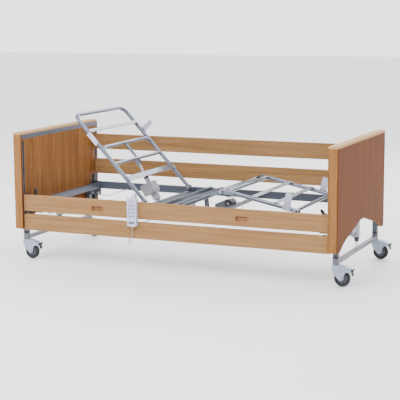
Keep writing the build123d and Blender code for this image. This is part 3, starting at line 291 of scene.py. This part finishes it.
surround = bpy.data.worlds.new("surround")
surround.use_nodes = True
sky = surround.node_tree
toward = sky.nodes.new("ShaderNodeTexCoord")
parts = sky.nodes.new("ShaderNodeSeparateXYZ")
above = sky.nodes.new("ShaderNodeMapRange")
behind = sky.nodes.new("ShaderNodeMapRange")
brightest = sky.nodes.new("ShaderNodeMath")
brightest.operation = "MAXIMUM"
for ramp, low, high in ((above, 0.45, 0.8), (behind, 0.0, 0.45)):
    ramp.inputs["From Min"].default_value = low
    ramp.inputs["From Max"].default_value = high
    ramp.inputs["To Min"].default_value = DIM
    ramp.inputs["To Max"].default_value = BRIGHT
sky.links.new(toward.outputs["Generated"], parts.inputs["Vector"])
sky.links.new(parts.outputs["Z"], above.inputs["Value"])
sky.links.new(parts.outputs["Y"], behind.inputs["Value"])
sky.links.new(above.outputs["Result"], brightest.inputs[0])
sky.links.new(behind.outputs["Result"], brightest.inputs[1])
sky.links.new(brightest.outputs["Value"], sky.nodes["Background"].inputs["Strength"])
sky.nodes["Background"].inputs["Color"].default_value = linear("#ffffff")
bpy.context.scene.world = surround
soft_light("key", (-0.6, -5.0, 4.4), (0, 0, 0.4), (4.0, 3.0), 300)
soft_light("fill", (-4.5, -3.0, 2.2), (0, 0, 0.5), (3.0, 2.5), 110)
soft_light("edge", (0.5, 4.5, 3.4), (0, 0, 0.4), (5.0, 2.0), 160)

floor_shape = bmesh.new()
bmesh.ops.create_grid(floor_shape, x_segments=4, y_segments=4, size=FLOOR_REACH)
floor_mesh = bpy.data.meshes.new("floor")
floor_shape.to_mesh(floor_mesh)
floor_shape.free()
floor = new_piece("floor", floor_mesh)
print("floor reaches", FLOOR_REACH, "m each way")

# %% [markdown]
# ## Finishes
# Each finish is a small network of nodes. One function adds a node, sets its values and joins it to
# others, so the recipes below read as a list of what feeds what. Patterns are placed by object
# coordinates, which are metres here, so a scale is one over the real size of the thing that it draws.

# %% Making a finish
def add_node(tree, kind, settings=None, **links):
    """Adds a node. settings are its properties or its sockets' values, links join sockets by name."""
    node = tree.nodes.new(kind)
    for key, value in (settings or {}).items():
        if key in node.inputs:
            node.inputs[key].default_value = value
        else:
            setattr(node, key, value)
    for key, source in links.items():
        tree.links.new(source, node.inputs[key.replace("_", " ")])
    return node


def new_finish(name, **surface):
    """A material with its own shader, whose steady values are set straight on the shader."""
    finish = bpy.data.materials.new(name)
    finish.use_nodes = True
    shader = finish.node_tree.nodes["Principled BSDF"]
    for key, value in surface.items():
        shader.inputs[key.replace("_", " ")].default_value = value
    return finish, finish.node_tree, shader


def colours(tree, amount, stops):
    """Turns a grey value into colours, given as (place, hex colour)."""
    ramp = add_node(tree, "ShaderNodeValToRGB", Fac=amount)
    while len(ramp.color_ramp.elements) < len(stops):
        ramp.color_ramp.elements.new(0.5)
    for element, (place, colour) in zip(ramp.color_ramp.elements, stops):
        element.position = place
        element.color = linear(colour)
    return ramp.outputs["Color"]


def place_in(tree, stretch):
    """Object coordinates in metres, stretched along each axis."""
    space = add_node(tree, "ShaderNodeTexCoord")
    fit = add_node(tree, "ShaderNodeMapping", {"Scale": stretch}, Vector=space.outputs["Object"])
    return fit.outputs["Vector"]


def bump(tree, shader, height, depth_mm, strength):
    node = add_node(tree, "ShaderNodeBump", {"Strength": strength, "Distance": depth_mm / 1000},
                    Height=height)
    tree.links.new(node.outputs["Normal"], shader.inputs["Normal"])


print("ready to make finishes")


# %% [markdown]
# ** Beech-patterned laminate.** The ends and boards are fibreboard with a printed, melamine-sealed beech
# decor. Beech has a fine, even grain: soft streaks a couple of centimetres wide along the board, and over
# them short dark flecks a millimetre or two wide. The sealed surface gives a broad, weak sheen. The
# streaks are noise stretched along the grain, so one recipe does for upright and for lying grain. A
# panel's broad faces can be given painted shade, a darker colour than its edges, as they face away from
# the light.

# %% Beech laminate
STREAK = 1 / 0.018
FLECK = 1 / 0.0032
LONG_STRETCH, SHORT_STRETCH = 0.035, 0.11
TONE_PLACES = (0.33, 0.5, 0.66)
# The mixing node has a set of sockets for each kind of value. These are the numbers of the colour ones.
FACTOR_IN, FIRST_COLOUR, SECOND_COLOUR, COLOUR_OUT = 0, 6, 7, 2


def beech_laminate(name, along, tones, contrast, painted_face_shade=None):
    finish, tree, shader = new_finish(name, Roughness=0.6, IOR=1.5, Specular_IOR_Level=0.12)
    long_way = [1.0 if axis != along else LONG_STRETCH for axis in "xyz"]
    short_way = [1.0 if axis != along else SHORT_STRETCH for axis in "xyz"]
    streak = add_node(tree, "ShaderNodeTexNoise", {"Scale": STREAK, "Detail": 3.0, "Distortion": 0.35},
                      Vector=place_in(tree, long_way))
    fleck = add_node(tree, "ShaderNodeTexNoise", {"Scale": FLECK, "Detail": 2.0, "Roughness": 0.7},
                     Vector=place_in(tree, short_way))
    mixed = add_node(tree, "ShaderNodeMix", {"data_type": "FLOAT", "Factor": 1 - contrast})
    tree.links.new(streak.outputs["Fac"], mixed.inputs["A"])
    tree.links.new(fleck.outputs["Fac"], mixed.inputs["B"])
    colour = colours(tree, mixed.outputs["Result"], list(zip(TONE_PLACES, tones)))
    # Painted shade: faces that point along x, the panels' broad faces, are multiplied by a darker colour
    # than the edges, as if they stood in shade.
    if painted_face_shade:
        facing = add_node(tree, "ShaderNodeTexCoord").outputs["Normal"]
        split = add_node(tree, "ShaderNodeSeparateXYZ", Vector=facing)
        size = add_node(tree, "ShaderNodeMath", {"operation": "ABSOLUTE"}, Value=split.outputs["X"])
        shade = colours(tree, size.outputs["Value"], [(0.6, "#ffffff"), (0.8, painted_face_shade)])
        both = add_node(tree, "ShaderNodeMix", {"data_type": "RGBA", "blend_type": "MULTIPLY"})
        both.inputs[FACTOR_IN].default_value = 1.0
        tree.links.new(colour, both.inputs[FIRST_COLOUR])
        tree.links.new(shade, both.inputs[SECOND_COLOUR])
        colour = both.outputs[COLOUR_OUT]
    tree.links.new(colour, shader.inputs["Base Color"])
    bump(tree, shader, fleck.outputs["Fac"], 0.05, 0.25)
    return finish


# Painted shade: the end panels' broad faces are multiplied by a darker colour than their edges.
upright_beech = beech_laminate("beech_laminate_upright", "z", ("#724a22", "#8f6338", "#a3784c"), 0.6,
                               painted_face_shade="#b08434")
# Painted shade: the inner copy is the same decor, given darker tones because the inner boards stand in
# shade.
shaded_inner_beech = beech_laminate("beech_laminate_inner_shaded", "z", ("#5c3718", "#7f5024", "#936331"), 0.62)
lying_beech = beech_laminate("beech_laminate_lying", "x", ("#83603c", "#957049", "#a37d55"), 0.6)
lip_beech = beech_laminate("beech_lipping", "y", ("#a47c50", "#b98f62", "#c69d71"), 0.45)
print("beech", [f.name for f in (upright_beech, shaded_inner_beech, lying_beech, lip_beech)])

# %% [markdown]
# **Powder coating.** Steel tube is sprayed with resin powder and baked. The film melts into a slightly
# wavy skin, known as orange peel, with ripples about 2 mm across. They only show as a soft break-up of
# the highlights.

# %% Powder-coated steel
def powder_coat(name, light, dark, rough, metallic=0.0):
    finish, tree, shader = new_finish(name, IOR=1.5, Metallic=metallic)
    spot = place_in(tree, (1, 1, 1))
    peel = add_node(tree, "ShaderNodeTexNoise", {"Scale": 1 / 0.002, "Detail": 2.0}, Vector=spot)
    cloud = add_node(tree, "ShaderNodeTexNoise", {"Scale": 1 / 0.12, "Detail": 3.0}, Vector=spot)
    tone = colours(tree, cloud.outputs["Fac"], [(0.3, dark), (0.7, light)])
    tree.links.new(tone, shader.inputs["Base Color"])
    span = add_node(tree, "ShaderNodeMapRange", {"To Min": rough - 0.06, "To Max": rough + 0.08},
                    Value=cloud.outputs["Fac"])
    tree.links.new(span.outputs["Result"], shader.inputs["Roughness"])
    bump(tree, shader, peel.outputs["Fac"], 0.04, 0.3)
    return finish


slate_steel = powder_coat("slate_powder_coat", "#444c5b", "#3a414f", 0.36)
mid_steel = powder_coat("mid_grey_powder_coat", "#6d727d", "#5f646f", 0.36)
silver_steel = powder_coat("silver_powder_coat", "#797f8c", "#626875", 0.3, 0.75)
print("powder coats", [f.name for f in (slate_steel, mid_steel, silver_steel)])

# %% [markdown]
# **Bright steel.** Piston rods are ground round the rod and chromed. Bolts and pins are zinc plated,
# which leaves a cloudy, slightly blue metal. Metals keep the shader's usual index, and their colour is
# that of the reflection.

# %% Ground and plated steel
def bare_metal(name, light, dark, rough, size_mm, stretch=(1, 1, 1)):
    finish, tree, shader = new_finish(name, Metallic=1.0)
    cloud = add_node(tree, "ShaderNodeTexNoise", {"Scale": 1000 / size_mm, "Detail": 3.0},
                     Vector=place_in(tree, stretch))
    tone = colours(tree, cloud.outputs["Fac"], [(0.3, dark), (0.7, light)])
    tree.links.new(tone, shader.inputs["Base Color"])
    span = add_node(tree, "ShaderNodeMapRange", {"To Min": rough, "To Max": rough + 0.15},
                    Value=cloud.outputs["Fac"])
    tree.links.new(span.outputs["Result"], shader.inputs["Roughness"])
    return finish


ground_steel = bare_metal("ground_chromed_steel", "#d6d8dc", "#b4b7bd", 0.16, 1.5, (0.2, 0.2, 1))
zinc_plate = bare_metal("zinc_plated_steel", "#c3c7cd", "#9ba1aa", 0.3, 4)
print("bare metals", [f.name for f in (ground_steel, zinc_plate)])

# %% [markdown]
# **Moulded plastic and rubber.** Covers, castor hoods and the handset are injection moulded in tools with
# a spark-eroded skin, a fine even grain of about half a millimetre. Tyre rubber is matt and a little
# dusty.

# %% Moulded plastic and rubber
def moulded(name, light, dark, rough, grain_mm=0.6, depth_mm=0.02, ior=1.5):
    finish, tree, shader = new_finish(name, IOR=ior)
    spot = place_in(tree, (1, 1, 1))
    grain = add_node(tree, "ShaderNodeTexNoise", {"Scale": 1000 / grain_mm, "Detail": 1.0}, Vector=spot)
    handling = add_node(tree, "ShaderNodeTexNoise", {"Scale": 1 / 0.05, "Detail": 4.0}, Vector=spot)
    tone = colours(tree, handling.outputs["Fac"], [(0.32, dark), (0.68, light)])
    tree.links.new(tone, shader.inputs["Base Color"])
    span = add_node(tree, "ShaderNodeMapRange", {"To Min": rough - 0.05, "To Max": rough + 0.1},
                    Value=handling.outputs["Fac"])
    tree.links.new(span.outputs["Result"], shader.inputs["Roughness"])
    bump(tree, shader, grain.outputs["Fac"], depth_mm, 0.4)
    return finish


pale_nylon = moulded("pale_moulded_nylon", "#a2adbf", "#8f9aad", 0.36)
lilac_abs = moulded("lilac_white_abs", "#c6c6dc", "#babad2", 0.34)
knee_abs = moulded("dark_grey_abs", "#5d606b", "#50535d", 0.4)
motor_abs = moulded("light_grey_abs", "#a2a3ad", "#94959f", 0.42)
black_nylon = moulded("black_moulded_nylon", "#26272b", "#1d1e21", 0.5)
dark_nylon = moulded("dark_grey_nylon", "#54504f", "#474341", 0.5)
tyre_rubber = moulded("grey_tyre_rubber", "#24272d", "#1a1c21", 0.72, 1.2, 0.05, 1.52)
cable_vinyl = moulded("grey_vinyl_sheath", "#a59f98", "#96908a", 0.4)
tan_insert = moulded("tan_moulded_insert", "#9a6a38", "#8c5e2f", 0.5)
# A dark brown for the painted shade along the top of each finger grip's recess, and for the dark joint at
# its edge.
recess_shade_and_joint_brown = moulded("brown_recess_shade_and_joint", "#3a2412", "#2e1c0d", 0.6)
key_rubber = moulded("grey_key_rubber", "#a9abc0", "#9fa1b6", 0.6)
mark_ink = moulded("grey_key_print", "#5c6178", "#545970", 0.5)
hub_nylon = moulded("mid_grey_nylon", "#4a4d55", "#3f4249", 0.5)
print("finishes so far", len(bpy.data.materials))

# %% [markdown]
# **Floor paint.** The floor is painted in a pale, barely clouded grey. The cables take their vinyl sheath
# here too.

# %% Floor paint and cable sheaths
paint, paint_tree, paint_shader = new_finish("pale_floor_paint", Roughness=0.6)
grit = add_node(paint_tree, "ShaderNodeTexNoise", {"Scale": 3.0, "Detail": 2.0},
                Vector=place_in(paint_tree, (1, 1, 1)))
floor_tone = colours(paint_tree, grit.outputs["Fac"], [(0.3, "#f6f6f6"), (0.7, "#fafafa")])
paint_tree.links.new(floor_tone, paint_shader.inputs["Base Color"])
floor.data.materials.append(paint)
for cable in (handset_cable, thigh_cable, head_cable):
    cable.data.materials.append(cable_vinyl)
print("cables sheathed", 3)

# %% [markdown]
# ## Small fittings
# Two functions make nearly all the small parts. The first turns a profile about a line, which gives
# washers, domed nuts, plugs and cable sleeves. Each fitting rides on the body that it is fixed to.

# %% Turned pieces
def fit_on(name, shape, body, finish):
    bmesh.ops.recalc_face_normals(shape, faces=shape.faces)
    mesh = bpy.data.meshes.new(name)
    shape.to_mesh(mesh)
    shape.free()
    mesh.materials.append(finish)
    piece = new_piece(name, mesh)
    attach(piece, body)
    return piece


def turned(name, place, axis, profile, body, finish, sides=32, hollow=False):
    """Turns (radius, height) pairs in millimetres about an axis through place. Six sides give a hexagon.

    The ends are closed by flat faces, or a hollow piece's last pair is joined back to its first."""
    axis = Vector(axis).normalized()
    across = axis.orthogonal().normalized()
    beside = axis.cross(across)
    shape = bmesh.new()
    rings = []
    for radius, height in profile:
        turns = [2 * pi * n / sides for n in range(sides)]
        out = [across * cos(t) + beside * sin(t) for t in turns]
        rings.append([shape.verts.new(at(*place) + (o * radius + axis * height) / 1000) for o in out])
    following = rings[1:] + (rings[:1] if hollow else [])
    for one, two in zip(rings, following):
        for n in range(sides):
            m = (n + 1) % sides
            shape.faces.new((one[n], one[m], two[m], two[n]))
    if not hollow:
        shape.faces.new(rings[0][::-1])
        shape.faces.new(rings[-1])
    return fit_on(name, shape, body, finish)


def hex_bolt(name, place, axis, body, across_flats=13):
    """A washer under a chamfered hexagon head."""
    point = across_flats / 3 ** 0.5
    washer = [(point + 2, 0), (point + 2.2, 0.3), (point + 2, 1.4)]
    turned(name + "_washer", place, axis, washer, body, zinc_plate)
    head = [(point, 1.2), (point, 6.0), (point * 0.86, 7.0), (point * 0.8, 7.1)]
    turned(name + "_head", place, axis, head, body, zinc_plate, sides=6)


print("ready to turn fittings")

# %% [markdown]
# The second function raises a flat pad with rounded corners and a chamfered edge, which gives covers and
# strips. Its outline is drawn three times: at the foot, where the chamfer starts, and a little smaller at
# the top.

# %% Raised pads
QUARTERS = ((1, 1), (-1, 1), (-1, -1), (1, -1))
CORNER_STEPS = 4


def raised_pad(name, place, along, outward, size, body, finish, corner=3.0, thick=1.0):
    """A flat pad of the given length and height, raised outward from place, with rounded corners."""
    along, outward = Vector(along).normalized(), Vector(outward).normalized()
    upward = outward.cross(along)
    shape = bmesh.new()
    rings = []
    for inset, height in ((0, 0), (0, thick * 0.6), (thick * 0.4, thick)):
        ring = []
        for quarter, (sx, sy) in enumerate(QUARTERS):
            for step in range(CORNER_STEPS + 1):
                t = (quarter + step / CORNER_STEPS) * pi / 2
                u = sx * (size[0] / 2 - corner) + (corner - inset) * cos(t)
                v = sy * (size[1] / 2 - corner) + (corner - inset) * sin(t)
                shift = (along * u + upward * v + outward * height) / 1000
                ring.append(shape.verts.new(at(*place) + shift))
        rings.append(ring)
    for one, two in zip(rings, rings[1:]):
        for n in range(len(one)):
            m = (n + 1) % len(one)
            shape.faces.new((one[n], one[m], two[m], two[n]))
    shape.faces.new(rings[0][::-1])
    shape.faces.new(rings[-1])
    return fit_on(name, shape, body, finish)


print("a pad has", len(QUARTERS) * (CORNER_STEPS + 1), "points round it")

# %% [markdown]
# The deck's hinges are bolts through welded lugs, so each shows a hexagon head on a washer. The leg
# section's open tube ends are closed with domed plugs.

# %% Bolts and plugs of the deck
BACK_PIVOT = (-290, 345)
KNEE_PIVOT = (215, 380)
DECK_BOLTS = (
    ("backrest_bolt", (-232, 412), 359, "bed_frame", 13),
    ("thigh_bolt", (45, 408), 373.5, "bed_frame", 13),
    ("knee_bolt", (296.97, 507.76), 364, "thigh_section", 13),
    ("back_drive_bolt", BACK_PIVOT, 23, "bed_frame", 10),
    ("knee_drive_bolt", KNEE_PIVOT, 43, "bed_frame", 10),
)
TUBE_PLUG = [(10.4, -6), (10.4, 0), (12.4, 0), (12.3, 1.5), (10, 2.8), (5, 3.6), (0.5, 3.8)]
LEG_SLOPE = radians(11.5)
PLATE_BOLTS = (1014, 966)

for near, flank in SIDES.items():
    for name, (x, z), reach, body, across_flats in DECK_BOLTS:
        hex_bolt(f"{near}_{name}", (x, flank * reach, z), (0, flank, 0), body, across_flats)
    turned(f"{near}_leg_tube_plug", (800.3, flank * 338, 413.5), (cos(LEG_SLOPE), 0, -sin(LEG_SLOPE)),
           TUBE_PLUG, "leg_section", black_nylon)
    for end, side in ENDS.items():
        for k, x in enumerate(PLATE_BOLTS):
            hex_bolt(f"{near}_{end}_plate_bolt_{k}", (side * x, flank * 399, 318), (0, -flank, 0),
                     "bed_frame")

# %% [markdown]
# Each castor turns on an axle with a domed nut at both sides, and its tread is moulded round a paler
# disc.

# %% Castor fittings
CASTOR_X, CASTOR_Y, CASTOR_TRAIL, AXLE_HEIGHT = 1057, 420, 40, 50
AXLE_NUT = [(8, 20.5), (8, 22), (6.5, 22), (6.5, 25), (5, 27.5), (2.5, 28.6), (0.5, 28.8)]
WHEEL_DISC = [(14, 6.5), (14, 9.5), (16, 10.5), (25, 9.6), (31, 8.2), (31, 6.5)]

for end, side in ENDS.items():
    for near, flank in SIDES.items():
        axle = (side * CASTOR_X + CASTOR_TRAIL, flank * CASTOR_Y, AXLE_HEIGHT)
        for hand in (-1, 1):
            turned(f"{near}_{end}_axle_nut_{hand}", axle, (0, hand, 0), AXLE_NUT,
                   f"{near}_{end}_castor", zinc_plate)
            turned(f"{near}_{end}_wheel_disc_{hand}", axle, (0, hand, 0), WHEEL_DISC,
                   f"{near}_{end}_wheel", hub_nylon, sides=48)

# %% [markdown]
# The handset's four rocker keys each carry an up and a down arrow. A darker strip closes its lower end,
# and a paler one its top.

# %% Handset marks
HANDSET_X = -235
HANDSET_FRONT = -520.4
ARROW_LAYERS = (-520.6, -521.3)
ARROW_SHIFT = 13
KEY_HEIGHTS = (("all", 343.5), ("height", 367.5), ("knee", 391.5), ("back", 415.5))

for key, z in KEY_HEIGHTS:
    for name, up in (("up", 1), ("down", -1)):
        x = HANDSET_X - ARROW_SHIFT * up
        arrow = bmesh.new()
        corners = ((0, 4.2 * up), (-4.2 * up, -3 * up), (4.2 * up, -3 * up))
        layers = [[arrow.verts.new(at(x + u, y, z + v)) for u, v in corners] for y in ARROW_LAYERS]
        for n in range(3):
            m = (n + 1) % 3
            arrow.faces.new((layers[0][n], layers[0][m], layers[1][m], layers[1][n]))
        arrow.faces.new(layers[0])
        arrow.faces.new(layers[1][::-1])
        fit_on(f"{key}_key_{name}_mark", arrow, f"{key}_rocker", mark_ink)
for name, z, size, finish, thick in (
    ("handset_strip", 305, (40, 13), mark_ink, 0.7),
    ("handset_top_strip", 441, (44, 10), key_rubber, 0.6),
):
    raised_pad(name, (HANDSET_X, HANDSET_FRONT, z), (1, 0, 0), (0, -1, 0), size, "near_upper_rail",
               finish, thick=thick)

# %% [markdown]
# The backrest's drive has a screwed cover on each side of its housing, seams round it, and a gearbox and
# a collar round its rod. They are placed along the drive's own line, which leans back from its pivot, and
# on the housing's middle, which lies a little below that line.

# %% The backrest's drive
BACK_LINE = Vector((-0.50398, 0, 0.86372))
BACK_UP = Vector((0.86372, 0, 0.50398))
BACK_START = Vector((BACK_PIVOT[0], 0, BACK_PIVOT[1]))
HOUSING_DROP = 11
HOUSING_HALF = 44
COVER_ALONG, COVER_OUT = 118, 40
COVER_SCREW = [(3.2, 1.6), (3.2, 2.5), (2.2, 2.9), (2.0, 2.4), (0.4, 2.4)]
GEARBOX = [(15.5, 31), (23, 32), (26, 36), (26, 55), (24.5, 56), (24.5, 58), (26, 59), (26, 70), (23, 79),
           (15.5, 79)]
COLLAR = [(15.1, 0), (17.5, 0), (18, 3), (17.5, 11), (15.6, 13), (9.5, 13.5), (9.3, 10.3), (15.1, 10.2)]


def on_back_drive(along, across, sideways=0):
    """A place on the drive, by its distances along and across the drive's line and out to the side."""
    return BACK_START + BACK_LINE * along + BACK_UP * across + Vector((0, sideways, 0))


for near, flank in SIDES.items():
    out = (0, flank, 0)
    middle = on_back_drive(COVER_ALONG, -HOUSING_DROP, flank * COVER_OUT)
    raised_pad(f"{near}_back_drive_cover", middle, BACK_LINE, out, (66, 72), "back_actuator", motor_abs,
               corner=8, thick=2)
    for u in (-24, 24):
        for v in (-27, 27):
            place = on_back_drive(COVER_ALONG + u, v - HOUSING_DROP, flank * COVER_OUT)
            turned(f"{near}_back_drive_screw_{u}_{v}", place, out, COVER_SCREW, "back_actuator",
                   black_nylon, sides=16)
turned("back_drive_gearbox", BACK_START, BACK_LINE, GEARBOX, "back_actuator", motor_abs, hollow=True)
for k, along in enumerate((96, 140)):
    place = on_back_drive(along, HOUSING_HALF - HOUSING_DROP)
    raised_pad(f"back_drive_seam_{k}", place, (0, 1, 0), BACK_UP, (70, 1.6), "back_actuator", dark_nylon,
               corner=0.7, thick=0.8)
turned("back_drive_collar", on_back_drive(188, 0), BACK_LINE, COLLAR, "back_actuator", black_nylon,
       hollow=True)

# %% [markdown]
# The knee's drive has a round cap on each side, over its pivot.

# %% The knee's drive
DRIVE_CAP = [(24.5, 0), (25, 0.8), (24, 2.4), (14, 2.4), (13, 1.2), (0.5, 1.2)]
for near, flank in SIDES.items():
    x, z = KNEE_PIVOT
    turned(f"{near}_knee_drive_ring", (x, flank * 36, z), (0, flank, 0), DRIVE_CAP, "thigh_actuator",
           black_nylon)
print("knee drive's caps", len(SIDES))

# %% [markdown]
# Every cable leaves its case through a tapered sleeve, which spreads the bend.

# %% Strain reliefs
SLEEVE_TAPER = [(4.6, -1), (4.6, 2), (4.2, 3), (4.2, 5), (3.7, 6), (3.7, 8), (3.2, 9), (3.0, 14),
                (2.55, 14.2)]
MOTOR_TILT = radians(10)
SLEEVES = (
    ("handset_relief", handset_route[0], (0, 0, -1), "near_upper_rail"),
    ("box_relief", handset_route[-1], (0, -1, 0), "bed_frame"),
    ("knee_drive_relief", thigh_route[0], (cos(MOTOR_TILT), 0, sin(MOTOR_TILT)), "thigh_actuator"),
    ("box_side_relief", thigh_route[-1], (1, 0, 0), "bed_frame"),
    ("head_lift_relief", head_route[0], (0, -1, 0), "bed_frame"),
    ("beam_relief", head_route[-1], (0, -1, 0), "bed_frame"),
)
for name, place, way, body in SLEEVES:
    turned(name, place, way, SLEEVE_TAPER, body, cable_vinyl, sides=20)
print("cable sleeves", len(SLEEVES))

# %% [markdown]
# The last fittings are the boards' catches, the plug in the foot end's outer face, the lift drives' seams,
# a strip of painted shade along the top of each finger grip's recess with a dark joint at its edge, and
# the lipping inside the head end.

# %% Catches, plug and seams
BOARD_TOPS = (("upper", 432.5), ("lower", 308))
BOARD_FRONT = -480.2
FOOT_PLUG = [(11, 0), (11.5, 1), (10.5, 2.2), (8, 2.4), (7, 0.8), (0.5, 0.6)]
SEAM = [(23.1, 0), (23.8, 0.4), (23.8, 2.6), (23.1, 3)]
LIFT_X, LIFT_Z = 1049, 272
SEAM_PLACES = (-48, -128)
GRIP_X = 490

for level, top in BOARD_TOPS:
    for end, side in ENDS.items():
        raised_pad(f"near_{level}_{end}_catch", (side * 1006, -481, top - 0.5), (1, 0, 0), (0, 0, 1),
                   (26, 12), f"near_{level}_rail", black_nylon, thick=5)
turned("foot_end_plug", (1090, 466, 241), (1, 0, 0), FOOT_PLUG, "bed_frame", black_nylon)
for end, side in ENDS.items():
    for k, y in enumerate(SEAM_PLACES):
        turned(f"{end}_lift_motor_seam_{k}", (side * LIFT_X, y, LIFT_Z), (0, -1, 0), SEAM, "bed_frame",
               dark_nylon)
    x = side * GRIP_X
    # The slot pad is painted shade along the top of the grip's recess. The edge pad is the dark joint at
    # its side.
    for name, place, size in (
        ("slot", (x - 6, BOARD_FRONT, 384), (66, 7)),
        ("edge", (x + 44, BOARD_FRONT, 374), (5, 24)),
    ):
        raised_pad(f"near_{end}_grip_{name}", place, (1, 0, 0), (0, -1, 0), size, "near_upper_rail",
                   recess_shade_and_joint_brown, corner=2, thick=0.8)
raised_pad("head_lipping", (-1030, 0, 785), (0, 1, 0), (1, 0, 0), (974, 14), "bed_frame", shaded_inner_beech,
           corner=2)

# %% [markdown]
# ## Which piece has which finish
# The rigid pieces are told apart by the last words of their names, so one table covers them all.

# %% Finish the rigid pieces
ENDINGS_BY_FINISH = (
    (upright_beech, ("head_panel", "foot_panel")),
    (shaded_inner_beech, ("inner_boards",)),
    (lying_beech, ("_board",)),
    (lip_beech, ("top_caps",)),
    (dark_nylon, ("rail_guides",)),
    (tan_insert, ("_grips",)),
    (pale_nylon, ("castor_fork",)),
    (tyre_rubber, ("castor_wheel",)),
    (slate_steel, ("end_frame", "side_beam", "deck_crossbars")),
    (mid_steel, ("leg_frame",)),
    (silver_steel, ("back_frame", "thigh_frame", "leg_section_frame")),
    (ground_steel, ("lift_rod", "back_rod", "thigh_rod")),
    (zinc_plate, ("_bolts",)),
    (lilac_abs, ("_retainers", "handset")),
    (key_rubber, ("_key",)),
    (knee_abs, ("thigh_motor",)),
    (motor_abs, ("back_motor", "lift_motors", "control_box")),
    (black_nylon, ("brake_pedal", "_lever", "lift_boots", "leg_bushes")),
)
for node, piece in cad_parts.items():
    for finish, endings in ENDINGS_BY_FINISH:
        if node.endswith(endings):
            if not piece.data.materials:
                piece.data.materials.append(finish)
            for slot in piece.material_slots:
                slot.material = finish
print("finished", len(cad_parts), "rigid pieces")
